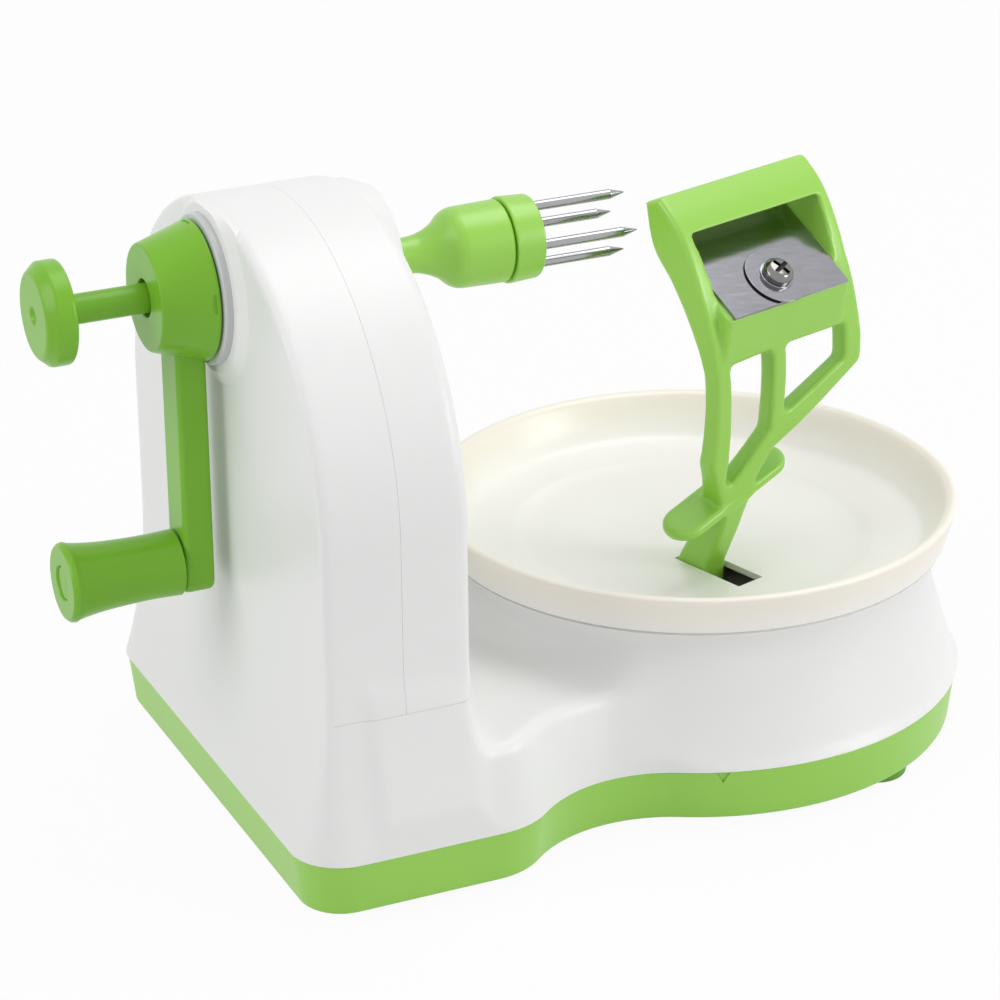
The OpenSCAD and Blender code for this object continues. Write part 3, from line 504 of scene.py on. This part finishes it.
body_cell = 1.2
low_corner = np.array([-134.2, -72.1, 9.6])
grid = [low_corner[i] + body_cell * np.arange(n) for i, n in enumerate((172, 121, 122))]
x, y, z = np.meshgrid(*grid, indexing="ij", sparse=True)
flare = (np.maximum(0, flare_top - np.maximum(z, base_top)) / (flare_top - base_top)) ** flare_power
across = y + tower_off * (1 - flare)
side = np.where(z > arch_z, np.hypot(across, z - arch_z) - arch_r,
                np.abs(across) - arch_r - (end_half - arch_r) * flare)
crank_end = crank_face - (end_x + crank_face) * flare - x
crank_edge, dish_edge = 1.8, 3.0
tower = rounded_both(side, crank_end, crank_edge + (end_corner - crank_edge) * flare)
tower = rounded_both(tower, x - dish_face, dish_edge)
pedestal_line = smooth_line([
    (pedestal_r + 0.3, -8), (pedestal_r, 0), (65.3, 2.7), (61.6, 14.7), (59.4, 22.7),
    (58.9, 26.4), (60.0, 30.0), (62.2, 33.7), (64.6, 40)])
pedestal = np.hypot(x, y) - np.interp(z - base_top, pedestal_line[:, 1], pedestal_line[:, 0])
pedestal_spare = 5.0
pedestal = rounded_both(pedestal, z - pedestal_top - pedestal_spare, 1.0)
waist_start, waist_end = -109, -10
saddle_line = smooth_line([
    (waist_start, 56.0), (-92, 52.5), (-88.6, 47.0), (-87.2, 41.0), (-84.5, 37.4), (-80, 36.6),
    (-74, 37.2), (-66, 37.2), (-52, 36.3), (-38, 35.8), (waist_end, 35.8)])
saddle_slope = np.interp(x, saddle_line[:, 0], np.gradient(saddle_line[:, 1], saddle_line[:, 0]))
saddle = (z - np.interp(x, saddle_line[:, 0], saddle_line[:, 1])) / np.hypot(1, saddle_slope)
waist_draw, waist_edge = 6.0, 2.6
tower_blend, pedestal_blend = 7.0, 10.0
base_room = 0.02
outline_field = base_distance(x, y)
pedestal_lean, pedestal_sink = 7.0, 9.0
lean = waist_draw + pedestal_lean * eased(x, -64, -28)
sink = pedestal_sink * eased(x, -44, -12)
waist = outline_field + sink + lean * np.maximum(z - base_top, 0) / (pedestal_top - base_top)
waist = rounded_both(waist, saddle, waist_edge)
waist = np.maximum(waist, np.maximum(waist_start - x, x - waist_end))
body = soft_union(soft_union(tower, waist, tower_blend), pedestal, pedestal_blend)
body = np.maximum(body, outline_field + base_room)
points, quads = skin(body, low_corner, body_cell)
housing = made("housing", (points, quads.tolist()), white, 60)


def trimmed(piece, spot, normal, within=lambda p: True):
    """Cuts the sheet at a plane and drops what lies ahead of it, among the faces within."""
    work = bmesh.new()
    work.from_mesh(piece.data)
    spot = Vector(((spot[0] + table_x) / 1000, spot[1] / 1000, spot[2] / 1000))
    normal = Vector(normal)
    everything = work.faces[:] + work.edges[:] + work.verts[:]
    bmesh.ops.bisect_plane(work, geom=everything, dist=1e-7, plane_co=spot, plane_no=normal)
    ahead = [f for f in work.faces if within(f.calc_center_median() * 1000 - Vector((table_x, 0, 0)))
             and (f.calc_center_median() - spot).dot(normal) > 0]
    bmesh.ops.delete(work, geom=ahead, context="FACES")
    work.to_mesh(piece.data)
    work.free()


seam_x, seam_gap = -104.0, 0.06
tray_gap, mouth_drop, tower_reach = 0.05, 0.2, -75
trimmed(housing, (0, 0, base_top + tray_gap), (0, 0, -1))
trimmed(housing, (0, 0, pedestal_top - mouth_drop), (0, 0, 1), lambda p: p.x > tower_reach)
cover = housing.copy()
cover.data = housing.data.copy()
cover.name = "tower_front_half"
scene.collection.objects.link(cover)
trimmed(cover, (0, 0, pedestal_top + seam_gap), (0, 0, -1))
trimmed(cover, (seam_x + seam_gap, 0, 0), (-1, 0, 0))
# The level cut drops nothing by itself: it lets the upright one stop at the seam.
trimmed(housing, (0, 0, pedestal_top), (0, 0, 1), lambda p: False)
trimmed(housing, (seam_x, 0, 0), (1, 0, 0), lambda p: p.z > pedestal_top)


def thickened(piece, depth):
    """Gives the sheet its wall, inwards."""
    modifier = piece.modifiers.new("wall", "SOLIDIFY")
    modifier.thickness = depth / 1000
    modifier.offset = -1
    bpy.context.view_layer.update()
    applied(piece, modifier)


def block(a, b):
    """A box between two corners, as points and faces."""
    points = [(i, j, k) for i in (a[0], b[0]) for j in (a[1], b[1]) for k in (a[2], b[2])]
    return points, [(0, 1, 3, 2), (4, 6, 7, 5), (0, 4, 5, 1), (2, 3, 7, 6), (0, 2, 6, 4), (1, 5, 7, 3)]


for half in (housing, cover):
    thickened(half, shell)
groove_w = 0.07
cut(housing, block((-121.0, -66.0, pedestal_top), (seam_x, -62.75, pedestal_top + groove_w)), 60)

crank_bore, fork_bore, bore_room = 10.9, 6.85, 0.05
boss_root = 3.0
crank_boss_r, crank_boss_foot, crank_boss_x, crank_foot_x = 19.4, 23.0, -124.0, -122.2
fork_boss_r, fork_boss_foot, fork_boss_x = 17.5, 20.0, -82.0
crank_boss_line = filleted([
    (crank_bore, crank_face + boss_root, 0), (crank_boss_foot, crank_face + boss_root, 0),
    (crank_boss_foot, crank_foot_x, 0.3), (crank_boss_r, crank_boss_x, 1.2),
    (crank_bore, crank_boss_x, 0)], 8)
fork_boss_line = filleted([
    (fork_bore, dish_face - boss_root, 0), (fork_boss_foot, dish_face - boss_root, 0),
    (fork_boss_foot, dish_face, 0), (fork_boss_r, fork_boss_x, 2.2), (fork_bore, fork_boss_x, 0)], 8)
arch_room = 0.1


def within_arch(points):
    """Points about the spindle, drawn in where they would stand past the tower's arch."""
    kept = []
    for x, y, z in points:
        off = math.hypot(y, z - spindle_z)
        rise = ((z - spindle_z) * (spindle_z - arch_z) + y * tower_off) / off
        reach = math.sqrt(rise ** 2 - (spindle_z - arch_z) ** 2 - tower_off ** 2 + arch_r ** 2) - rise
        share = min(1, (reach - arch_room) / off)
        kept.append((x, y * share, spindle_z + (z - spindle_z) * share))
    return kept


def bored(piece, radius, start, end, y, z, sides):
    """Bores a lengthwise hole through the piece."""
    cut(piece, turned([(0, start), (radius, start), (radius, end), (0, end)], "x", (0, y, z), sides))


bored(housing, crank_bore + bore_room, -130, -112, 0, spindle_z, 64)
bored(cover, fork_bore, -98, -80, 0, spindle_z, 64)
cover_screws = [(s * y - tower_off, z) for y, z in ((44.5, 65.6), (32.5, 121.6)) for s in (1, -1)]
for y, z in cover_screws:
    bored(cover, screw_head_r, -96, -80, y, z, 32)
for name, line in (("crank_boss", crank_boss_line), ("fork_boss", fork_boss_line)):
    points, faces = turned(line, "x", (0, 0, spindle_z))
    boss_piece = made(name, (within_arch(points), faces), white)
    even_normals(boss_piece)
    fitted(boss_piece, "root", "white_plastic")
fitted(housing, "root", "white_plastic", "body_shell")
fitted(cover, "root", "white_plastic", "tower_cover")

# Dish: ivory moulding with a rolled rim, a slot for the arm and a shallow step in its floor.
# It sits on the crown wheel and turns with it, just clear of the pedestal's mouth.
floor_z, rim_z, dish_r = 49.0, 60.3, 65.0
# Partly painted light: the walls and rim take the dish's own cream tint, and the floor below them is left
# paler and whiter as painted light falling from above.
lit_floor_to_cream_from, lit_floor_to_cream_to, cream_and_lit_floor_tint = 0.0495, 0.057, (1.0, 0.96, 0.9, 1)
ivory = moulded("ivory_moulding", (0.945, 0.93, 0.895), 0.34, 0.01, 0.02)
nodes, links = ivory.node_tree.nodes, ivory.node_tree.links
height = nodes.new("ShaderNodeSeparateXYZ")
links.new(nodes["Texture Coordinate"].outputs["Object"], height.inputs[0])
rim_share = nodes.new("ShaderNodeMapRange")
rim_share.inputs["From Min"].default_value = lit_floor_to_cream_from
rim_share.inputs["From Max"].default_value = lit_floor_to_cream_to
links.new(height.outputs["Z"], rim_share.inputs["Value"])
cream_rim_and_lit_floor = nodes.new("ShaderNodeMix")
cream_rim_and_lit_floor.data_type = "RGBA"
cream_rim_and_lit_floor.blend_type = "MULTIPLY"
cream_rim_and_lit_floor.inputs[7].default_value = cream_and_lit_floor_tint
links.new(rim_share.outputs["Result"], cream_rim_and_lit_floor.inputs[0])
links.new(nodes["Color Ramp"].outputs["Color"], cream_rim_and_lit_floor.inputs[6])
links.new(cream_rim_and_lit_floor.outputs[2], nodes["Principled BSDF"].inputs["Base Color"])
step_drop, dish_under, skirt_z = 0.9, 46.5, 50.6
floor_step = [(38, floor_z - step_drop), (41.5, floor_z - 0.8), (44.5, floor_z - 0.1), (45.5, floor_z)]
inner_wall = [(46, floor_z), (55, floor_z + 0.4), (58.6, floor_z + 3.4), (61.8, rim_z - 1.6),
              (62.8, rim_z - 0.4), (63.8, rim_z)]
outer_wall = [(64.4, rim_z - 0.1), (dish_r, rim_z - 0.8), (64.4, rim_z - 3), (62.5, skirt_z)]
dish_line = [(0.0, floor_z - step_drop)]
for stretch, steps in ((floor_step, 5), (inner_wall, 6), (outer_wall, 5)):
    dish_line += [tuple(q) for q in smooth_line(stretch, steps)]
dish_line += [(59.2, skirt_z), (58.0, 50.0), (56.0, 47.4), (53.0, dish_under), (0.0, dish_under)]
arm_turn = math.radians(17)


def on_arm(points):
    """Points of the arm's own frame (across, outward, up from the dish floor), put in place."""
    c, s = math.cos(arm_turn), math.sin(arm_turn)
    return [(t * c + r * s, t * s - r * c, h + floor_z) for t, r, h in points]


arm_t = -9.5
slot_w, slot_start, slot_l, slot_reach = 8.1, 8.0, 22.3, 6
dish = made("dish", turned(dish_line, "z", (0, 0, 0), 160), ivory)
points, faces = block((arm_t - slot_w / 2, slot_start, -slot_reach),
                      (arm_t + slot_w / 2, slot_start + slot_l, slot_reach))
cut(dish, (on_arm(points), faces))
even_normals(dish)
fitted(dish, "turntable", "ivory_plastic", "dish")

# Crank: cone hub, flat arm and shank, one green moulding turning in a pale ring on the tower.
# The handle's grip spins on a steel pin in the arm's end, and its own small cap hides the pin's head.
handle_z = 66.8
pale_ring = moulded("pale_ring", (0.58, 0.6, 0.6), 0.28, 0.02, 0.1)
# Painted shade: a darker copy of the same green plastic, with weaker reflections, for the crank, grip,
# grip cap and knob, standing in for the shade they sit in beside the tower.
shaded_green = moulded("shaded_green_moulding", (0.2, 0.49, 0.028), 0.3, 0.03, 0.12, 0.35)


def lathed(name, line, height, finish, body, slot, node):
    """A piece turned about a lengthwise axis at that height, fitted on its body."""
    piece = made(name, turned(line, "x", (0, 0, height)), finish)
    even_normals(piece)
    fitted(piece, body, slot, node)


ring_x, ring_t, ring_l = -125.9, 1.9, 7.9
ring_r, ring_neck_r, ring_bore = 17.4, 11.0, 8.05
ring_line = filleted([
    (ring_bore, ring_x, 0), (ring_r, ring_x, 0.6), (ring_r, ring_x + ring_t, 0),
    (ring_neck_r, ring_x + ring_t, 0), (ring_neck_r, ring_x + ring_l, 0), (ring_bore, ring_x + ring_l, 0)])
lathed("crank_ring", ring_line, spindle_z, pale_ring, "root", "grey_plastic", "front_bush")

shank_r, shank_bore, shank_end = 8.0, 3.5, -101.0
cone_foot, cone_end, cone_foot_r, cone_end_r = -126.2, -139.0, 16.4, 12.4
mouth_r, mouth_depth = 4.4, 3
cone_line = filleted([
    (shank_bore, shank_end, 0), (shank_r, shank_end, 0), (shank_r, cone_foot, 0),
    (cone_foot_r, cone_foot, 0.6), (cone_end_r, cone_end, 0.6), (mouth_r, cone_end, 0.4),
    (mouth_r, cone_end + mouth_depth, 0), (shank_bore, cone_end + mouth_depth, 0)])
cone = turned(cone_line, "x", (0, 0, spindle_z))


def bar(line, low, high, edge, steps=4):
    """A flat outline of (y, z) points, thick along x, with rounded edges."""
    middle = np.array(line)
    after, before = np.roll(middle, -1, 0), np.roll(middle, 1, 0)
    lean = after - before
    normal = np.stack([lean[:, 1], -lean[:, 0]], 1) / np.hypot(lean[:, 0], lean[:, 1])[:, None]
    turns = [math.pi / 2 * k / steps for k in range(steps + 1)]
    rings = [(edge * (1 - math.sin(t)), low + edge * (1 - math.cos(t))) for t in turns]
    rings += [(i, high + low - p) for i, p in reversed(rings)]
    points = []
    for inset, place in rings:
        points.extend((place, q[0] - inset * n[0], q[1] - inset * n[1]) for q, n in zip(middle, normal))
    return points, stacked(len(line), len(rings))


lever_face, lever_back, lever_edge = -134.0, -126.7, 1.2
lever_half, lever_foot, lever_corner = 5.6, 7.0, 3.4
lever_steps = [handle_z + (spindle_z - handle_z) * k / 12 for k in range(1, 13)]
lever_line = filleted([
    (-lever_half, handle_z, 0), (-lever_half, handle_z - lever_foot, lever_corner),
    (lever_half, handle_z - lever_foot, lever_corner), (lever_half, handle_z, 0)], 6)
lever_line += [(lever_half, z) for z in lever_steps] + [(-lever_half, z) for z in reversed(lever_steps)]
crank = made("crank", joined(cone, bar(lever_line, lever_face, lever_back, lever_edge)), shaded_green)
notch_low, notch_high, notch_turn = (-128.1, -2.2, 15.65), (-127.3, 2.2, 18.0), 7
for k in range(4):
    t = math.radians(notch_turn + 90 * k)
    points, faces = block(notch_low, notch_high)
    points = [(x, y * math.sin(t) - z * math.cos(t), spindle_z + z * math.sin(t) + y * math.cos(t))
              for x, y, z in points]
    cut(crank, (points, faces))
even_normals(crank)
fitted(crank, "spindle", "green_plastic", "crank")

handle_end, handle_l = -162.1, 27.5
pin_bore, cap_bore, cap_bore_l = 2.05, 4.05, 5.2
grip_curve = smooth_line([
    (7.8, handle_l), (7.6, handle_l * 0.7), (8.0, handle_l * 0.36), (8.8, handle_l * 0.13), (9.4, 1.5)], 8)
grip_line = [(pin_bore, handle_l), (7.2, handle_l)] + [tuple(q) for q in grip_curve]
grip_line += [(9.2, 0.6), (8.6, 0), (4.4, 0), (cap_bore, 0.35), (cap_bore, cap_bore_l),
              (pin_bore, cap_bore_l)]
grip_line = [(r, handle_end + a) for r, a in grip_line]
lathed("handle_grip", grip_line, handle_z, shaded_green, "handle", "green_plastic", "crank_handle")
plug_r, plug_x, plug_l = 4.0, handle_end + 0.4, 2.0
plug_line = filleted([
    (0, plug_x, 0), (plug_r, plug_x, 0.35), (plug_r, plug_x + plug_l, 0), (0, plug_x + plug_l, 0)])
lathed("grip_cap", plug_line, handle_z, shaded_green, "handle", "green_plastic", "handle_cap")

# Ejector: a green push knob on a stem through the crank, a steel rod and the cap behind the tines.
# The knob's disc is bevelled, with a small dimple in its face where the mould was filled.
knob_back, knob_face, knob_r, knob_bevel_r = -158.0, -165.0, 12.0, 9.8
dimple_x, stem_r, stem_end = knob_face + 0.8, 3.45, -130.0
knob_line = filleted([
    (0, dimple_x, 0), (1.5, dimple_x, 0), (2.2, knob_face, 0.2), (knob_bevel_r, knob_face, 1.6),
    (knob_r, knob_face + 2.5, 1.2), (knob_r, knob_back, 1.0), (stem_r, knob_back, 0.8),
    (stem_r, stem_end, 0), (0, stem_end, 0)])
lathed("push_knob", knob_line, spindle_z, shaded_green, "ejector", "green_plastic", "ejector_knob")
cap_x, cap_l, cup_r = -51.0, 7.4, 9.8
push_line = filleted([
    (0, cap_x, 0), (cup_r + 0.5, cap_x, 0.4), (cup_r + 0.1, cap_x + cap_l, 0.7), (0, cap_x + cap_l, 0)])
lathed("push_cap", push_line, spindle_z, green, "ejector", "green_plastic", "ejector_cap")

# Fork: a bottle-shaped green holder pressed on the crank's shank, with four steel tines moulded in.
# The tines are drawn wire with ground points.
neck_r, neck_start, cup_end = 4.3, -110.0, cap_x - 0.3
holder_curve = smooth_line([
    (neck_r, -86), (neck_r, -75), (5.0, -71), (6.6, -67.6), (8.6, -65.2), (9.4, -63.4), (9.6, -61),
    (cup_r, cap_x - 0.9)], 8)
holder_line = [(0, neck_start), (neck_r, neck_start)] + [tuple(q) for q in holder_curve]
holder_line += [(cup_r - 0.5, cup_end), (0, cup_end)]
lathed("fork_cup", holder_line, spindle_z, green, "spindle", "green_plastic", "fork_holder")


def metal(name, colour, rough, streaks, direction=(1, 1, 1)):
    """Bare metal with fine drawn or ground streaks along one direction."""
    finish = bpy.data.materials.new(name)
    finish.use_nodes = True
    nodes, links = finish.node_tree.nodes, finish.node_tree.links
    shader = nodes["Principled BSDF"]
    shader.inputs["Metallic"].default_value = 1.0
    place = nodes.new("ShaderNodeTexCoord")
    stretch = nodes.new("ShaderNodeMapping")
    stretch.inputs["Scale"].default_value = direction
    lines = nodes.new("ShaderNodeTexNoise")
    lines.inputs["Scale"].default_value = 900
    lines.inputs["Detail"].default_value = 3
    tint = nodes.new("ShaderNodeValToRGB")
    tint.color_ramp.elements[0].color = tuple(c * (1 - streaks) for c in colour) + (1,)
    tint.color_ramp.elements[1].color = tuple(min(1, c * (1 + streaks)) for c in colour) + (1,)
    gloss = nodes.new("ShaderNodeMapRange")
    gloss.inputs["To Min"].default_value = rough - 0.05
    gloss.inputs["To Max"].default_value = rough + 0.05
    bump = nodes.new("ShaderNodeBump")
    bump.inputs["Strength"].default_value = 0.08
    bump.inputs["Distance"].default_value = 0.00002
    links.new(place.outputs["Object"], stretch.inputs["Vector"])
    links.new(stretch.outputs["Vector"], lines.inputs["Vector"])
    links.new(lines.outputs["Fac"], tint.inputs["Fac"])
    links.new(lines.outputs["Fac"], gloss.inputs["Value"])
    links.new(tint.outputs["Color"], shader.inputs["Base Color"])
    links.new(gloss.outputs["Result"], shader.inputs["Roughness"])
    links.new(lines.outputs["Fac"], bump.inputs["Height"])
    links.new(bump.outputs["Normal"], shader.inputs["Normal"])
    return finish


# Painted reflection: the tines' steel gets a darker colour than bright steel has, standing in for dark
# surroundings reflected in it.
bright_steel = metal("bright_steel", (0.4, 0.4, 0.41), 0.12, 0.06, (0.1, 1, 1))
tine_r, tine_circle, tine_foot, tine_tip, tine_point = 1.2, 7.1, -60.0, -19.2, 3.8
tine_line = filleted([
    (0, tine_foot, 0), (tine_r, tine_foot, 0), (tine_r, tine_tip - tine_point, 0.6), (0.15, tine_tip, 0),
    (0, tine_tip, 0)])
turns = [math.radians(90 * k) for k in range(4)]
tines_at = [(0, tine_circle * math.cos(t), spindle_z + tine_circle * math.sin(t)) for t in turns]
tines = made("tines", joined(*[turned(tine_line, "x", spot, 24) for spot in tines_at]), bright_steel)
even_normals(tines)
fitted(tines, "spindle", "bright_steel", "fork_tines")

# Peeler arm: green moulding with a stem through the dish's slot, a finger tab, struts and the blade head.
# It tilts on a pin under the dish, and a spring presses its head against the fruit.
head_half, head_inner, blade_w, blade_l = 24.2, 19.35, 37.5, 28.0
blade_slope = math.radians(33)
blade_front = (32.5, 69.2)


def loop_distance(a, b, corners):
    """Distance from a closed outline, negative inside, for grids a and b."""
    best = np.full(np.broadcast(a, b).shape, 1e9)
    inside = np.zeros(best.shape, bool)
    for (x1, y1), (x2, y2) in zip(corners, list(corners[1:]) + [corners[0]]):
        ex, ey = x2 - x1, y2 - y1
        span = ex * ex + ey * ey
        if span < 1e-12:
            continue
        t = np.clip(((a - x1) * ex + (b - y1) * ey) / span, 0, 1)
        best = np.minimum(best, (a - x1 - t * ex) ** 2 + (b - y1 - t * ey) ** 2)
        if y1 != y2:
            inside ^= ((y1 > b) != (y2 > b)) & (a < ex * (b - y1) / ey + x1)
    best = np.sqrt(best)
    return np.where(inside, -best, best)


def loop(corners, radius):
    """A closed outline with every corner rounded, by its own radius where it gives one."""
    full = [(c[0], c[1], c[2] if len(c) > 2 else radius) for c in corners]
    return filleted([full[-1]] + full + [full[0]])[1:-1]


arm_cell = 0.6
arm_low = np.array([-30.3, -2.3, -33.2])
t, r, h = np.meshgrid(*[arm_low[i] + arm_cell * np.arange(n) for i, n in enumerate((100, 76, 220))],
                      indexing="ij", sparse=True)
stem_half = 3.5
stem_left, stem_right = arm_t - stem_half, arm_t + stem_half
front_line = smooth_line([(17.8, -3), (18.5, 0), (24.4, 14), (28.3, 29), (30.2, 44), (30, 57.7),
                          (27.3, 73.2), (20, 88), (12.2, 95.2)], 6)
back_line = smooth_line([(8.4, -3), (8.6, 0), (16.5, 14), (22.8, 29), (25.2, 44), (24.6, 57.7),
                         (18.2, 73.2), (10.4, 82.5), (7.6, 93)], 6)
side_form = loop_distance(r, h, [tuple(q) for q in front_line] + [tuple(q) for q in back_line[::-1]])
face_form = loop_distance(t, h, loop([
    (stem_left, -2, 0.1), (stem_left, 14), (-17, 22), (-21.3, 31.5), (-21.4, 46), (-21.7, 54), (-23, 64),
    (-head_half, 74), (-head_half, 96, 2), (head_half, 96, 2), (head_half, 74), (26, 62), (27, 54),
    (26.9, 46.8), (8.5, 35.6), (-1, 30.6), (-4.6, 24), (stem_right, 14), (stem_right, -2, 0.1)], 3))
left_window = [(-17, 56.5), (-3.2, 57), (-3.1, 36.4), (-15.0, 22.4)]
right_window = [(1.5, 57.5), (21, 57.5), (21, 48.6), (1.5, 39.2)]
for window in (left_window, right_window):
    face_form = np.maximum(face_form, -loop_distance(t, h, loop(window, 1.5)))
slope_c, slope_s = math.cos(blade_slope), math.sin(blade_slope)
up_slope = (blade_front[0] - r) * slope_c + (h - blade_front[1]) * slope_s
off_blade = (r - blade_front[0]) * slope_s + (h - blade_front[1]) * slope_c
most_spread, spread_over = 0.08, 8
spread = 1 + most_spread * np.clip(off_blade / spread_over, 0, 1)
window_low, window_high = 57.8, 87.5
head_window = loop([(-head_inner, window_low), (-head_inner, window_high), (head_inner, window_high),
                    (head_inner, window_low)], 0.6)
arm_edge, arm_blend = 1.1, 0.8
arm = np.maximum(rounded_both(face_form, side_form, arm_edge), -loop_distance(t / spread, h, head_window))
chin_l, chin_edge, chin_root = 14, 0.8, 0.5
chin_back = (blade_front[0] - chin_l, blade_front[1] + chin_l * math.tan(blade_slope))
chin_line = loop([blade_front, (30.2, 57.7), (24.6, 57.7), (21.6, 68), chin_back], chin_edge)
chin = rounded_both(loop_distance(r, h, chin_line), np.abs(t) - head_inner - chin_root, chin_edge)
arm = soft_union(arm, chin, arm_blend)
pivot_r, pivot_h, pivot_bore, hub_r = 11.5, -25, 2.05, 5
off_pivot = np.hypot(r - pivot_r, h - pivot_h)
stem_side = np.abs(t - arm_t) - stem_half
stem_form = loop_distance(r, h, [(8.5, -0.8), (18.3, -0.8), (16.1, -23), (6.9, -23)])
stem_edge, hub_edge = 0.8, 0.6
stem = np.minimum(rounded_both(stem_form, stem_side, stem_edge),
                  rounded_both(off_pivot - hub_r, stem_side, hub_edge))
arm = soft_union(arm, stem, arm_blend)
tab_rise, tab_lean = math.radians(18), math.radians(8)
tab_half_l, tab_half_w, tab_t = 19.0, 5.5, 3.0
tab_r, tab_h, tab_edge, tab_blend = 21, 18.3, 1.3, 1.2
dx, dy, dz = t - arm_t, tab_r - r, h - tab_h
along = dx * math.cos(tab_rise) + dz * math.sin(tab_rise)
off = dz * math.cos(tab_rise) - dx * math.sin(tab_rise)
width = dy * math.cos(tab_lean) + off * math.sin(tab_lean)
off = off * math.cos(tab_lean) - dy * math.sin(tab_lean)
tab_form = np.hypot(np.maximum(np.abs(along) - tab_half_l + tab_half_w, 0), width) - tab_half_w
tab = rounded_both(tab_form, np.abs(off - tab_t / 2) - tab_t / 2, tab_edge)
arm = soft_union(arm, tab, tab_blend)
pocket_spare, pocket_depth = 3, 6
pocket = np.maximum(np.maximum(np.abs(t) - head_inner, -off_blade),
                    np.maximum(-up_slope, up_slope - blade_l - pocket_spare))
arm = np.maximum(arm, -np.maximum(pocket, off_blade - pocket_depth))
arm = np.maximum(arm, pivot_bore - off_pivot)
points, quads = skin(arm, arm_low, arm_cell)
peeler_arm = made("blade_arm", (on_arm(points.tolist()), quads.tolist()), green, 60)
fitted(peeler_arm, "arm", "green_plastic", "peeler_arm")

# Blade: a ground steel plate with one sharp edge, held on the arm's head by a washer and a pan-head screw.
# The plate lies in the head's pocket on a slope, with its sharp edge towards the fruit.
# Partly painted reflection: the blade's ground steel, and the washer with it, get a darker steel colour,
# standing in for the dark surroundings they reflect.
blade_and_washer_steel_painted_dark = metal("blade_and_washer_steel_painted_dark", (0.31, 0.31, 0.335), 0.15, 0.08, (0.06, 1, 1))


def on_blade(points):
    """Points of the blade's own frame (across, up its slope, off its back), put in place."""
    return on_arm([(p[0], blade_front[0] - p[1] * slope_c + p[2] * slope_s,
                    blade_front[1] + p[1] * slope_s + p[2] * slope_c) for p in points])


blade_t, bevel = 0.8, 2.0
half_blade = blade_w / 2
burr, sharp_t = 0.15, 0.05
blade_line = [(0, 0), (blade_l, 0), (blade_l, sharp_t), (blade_l - bevel, blade_t), (burr, blade_t),
              (0, blade_t - burr)]
points = [(side, a, n) for side in (-half_blade, half_blade) for a, n in blade_line]
blade = made("blade_plate", (on_blade(points), stacked(len(blade_line), 2)), blade_and_washer_steel_painted_dark, 20)
fitted(blade, "arm", "blade_steel", "blade")

screw_at = 7.2
washer_r, washer_foot_r, washer_bore, collar_r = 8.0, 7.3, 2.0, 4.3
washer_under, washer_top, collar_top = 0.3, 0.65, 1.0
washer_line = filleted([
    (washer_bore, 0, 0), (washer_foot_r, 0, 0), (washer_foot_r, washer_under, 0),
    (washer_r, washer_under, 0.05), (washer_r, washer_top, 0.1), (collar_r, washer_top, 0),
    (collar_r, collar_top, 0.15), (washer_bore, collar_top, 0)])
points, faces = turned(washer_line, "z", (0, screw_at, blade_t))
washer = made("blade_plain_washer", (on_blade(points), faces), blade_and_washer_steel_painted_dark)
even_normals(washer)
fitted(washer, "arm", "bright_steel", "blade_washer")

# Painted reflection: the screw's bright steel gets a dark colour, standing in for dark surroundings
# reflected in its head.
screw_steel_painted_dark = metal("screw_steel_painted_dark", (0.24, 0.235, 0.23), 0.12, 0.06)
pan_r, thread_r, thread_l = 3.75, 1.5, 8.0
pan_line = filleted([
    (0, -thread_l, 0), (thread_r, -thread_l, 0), (thread_r, 0, 0), (pan_r, 0, 0.2), (pan_r, 1.4, 1.0),
    (2.6, 2.6, 1.2), (0, 2.8, 0)])
pan_foot = blade_t + collar_top
points, faces = turned(pan_line, "z", (0, screw_at, pan_foot), 48)
screw = made("blade_pan_screw", (on_blade(points), faces), screw_steel_painted_dark)
cross_low, cross_high = (-2.35, -0.55, 0.7), (2.35, 0.55, 4)
for turn in (20, 110):
    points, faces = block(cross_low, cross_high)
    c, s = math.cos(math.radians(turn)), math.sin(math.radians(turn))
    points = [(p[0] * c - p[1] * s, p[0] * s + p[1] * c + screw_at, p[2] + pan_foot) for p in points]
    cut(screw, (on_blade(points), faces))
even_normals(screw)
fitted(screw, "arm", "bright_steel", "blade_screw")

# Works: natural plastic gears on steel axles, with the screws, pins and spring, all inside the housing.
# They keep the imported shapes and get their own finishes.
gear_plastic = moulded("gear_plastic", (0.72, 0.7, 0.63), 0.42, 0.02, 0.15)
drawn_steel = metal("drawn_steel", (0.55, 0.55, 0.57), 0.3, 0.08, (0.1, 1, 1))
plastic_works = ["spindle_pinion", "upper_gear", "middle_gear", "lower_gear", "lower_pinion",
                 "shaft_bearings", "turntable_gear", "rear_bush"]
steel_works = ["upper_axle", "middle_axle", "lower_shaft", "turntable_post", "turntable_screw", "arm_pin",
               "arm_spring", "ejector_rod", "handle_pin", "base_screws", "cover_screws"]
for names, finish in ((plastic_works, gear_plastic), (steel_works, drawn_steel)):
    for name in names:
        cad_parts[name].data.materials.clear()
        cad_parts[name].data.materials.append(finish)
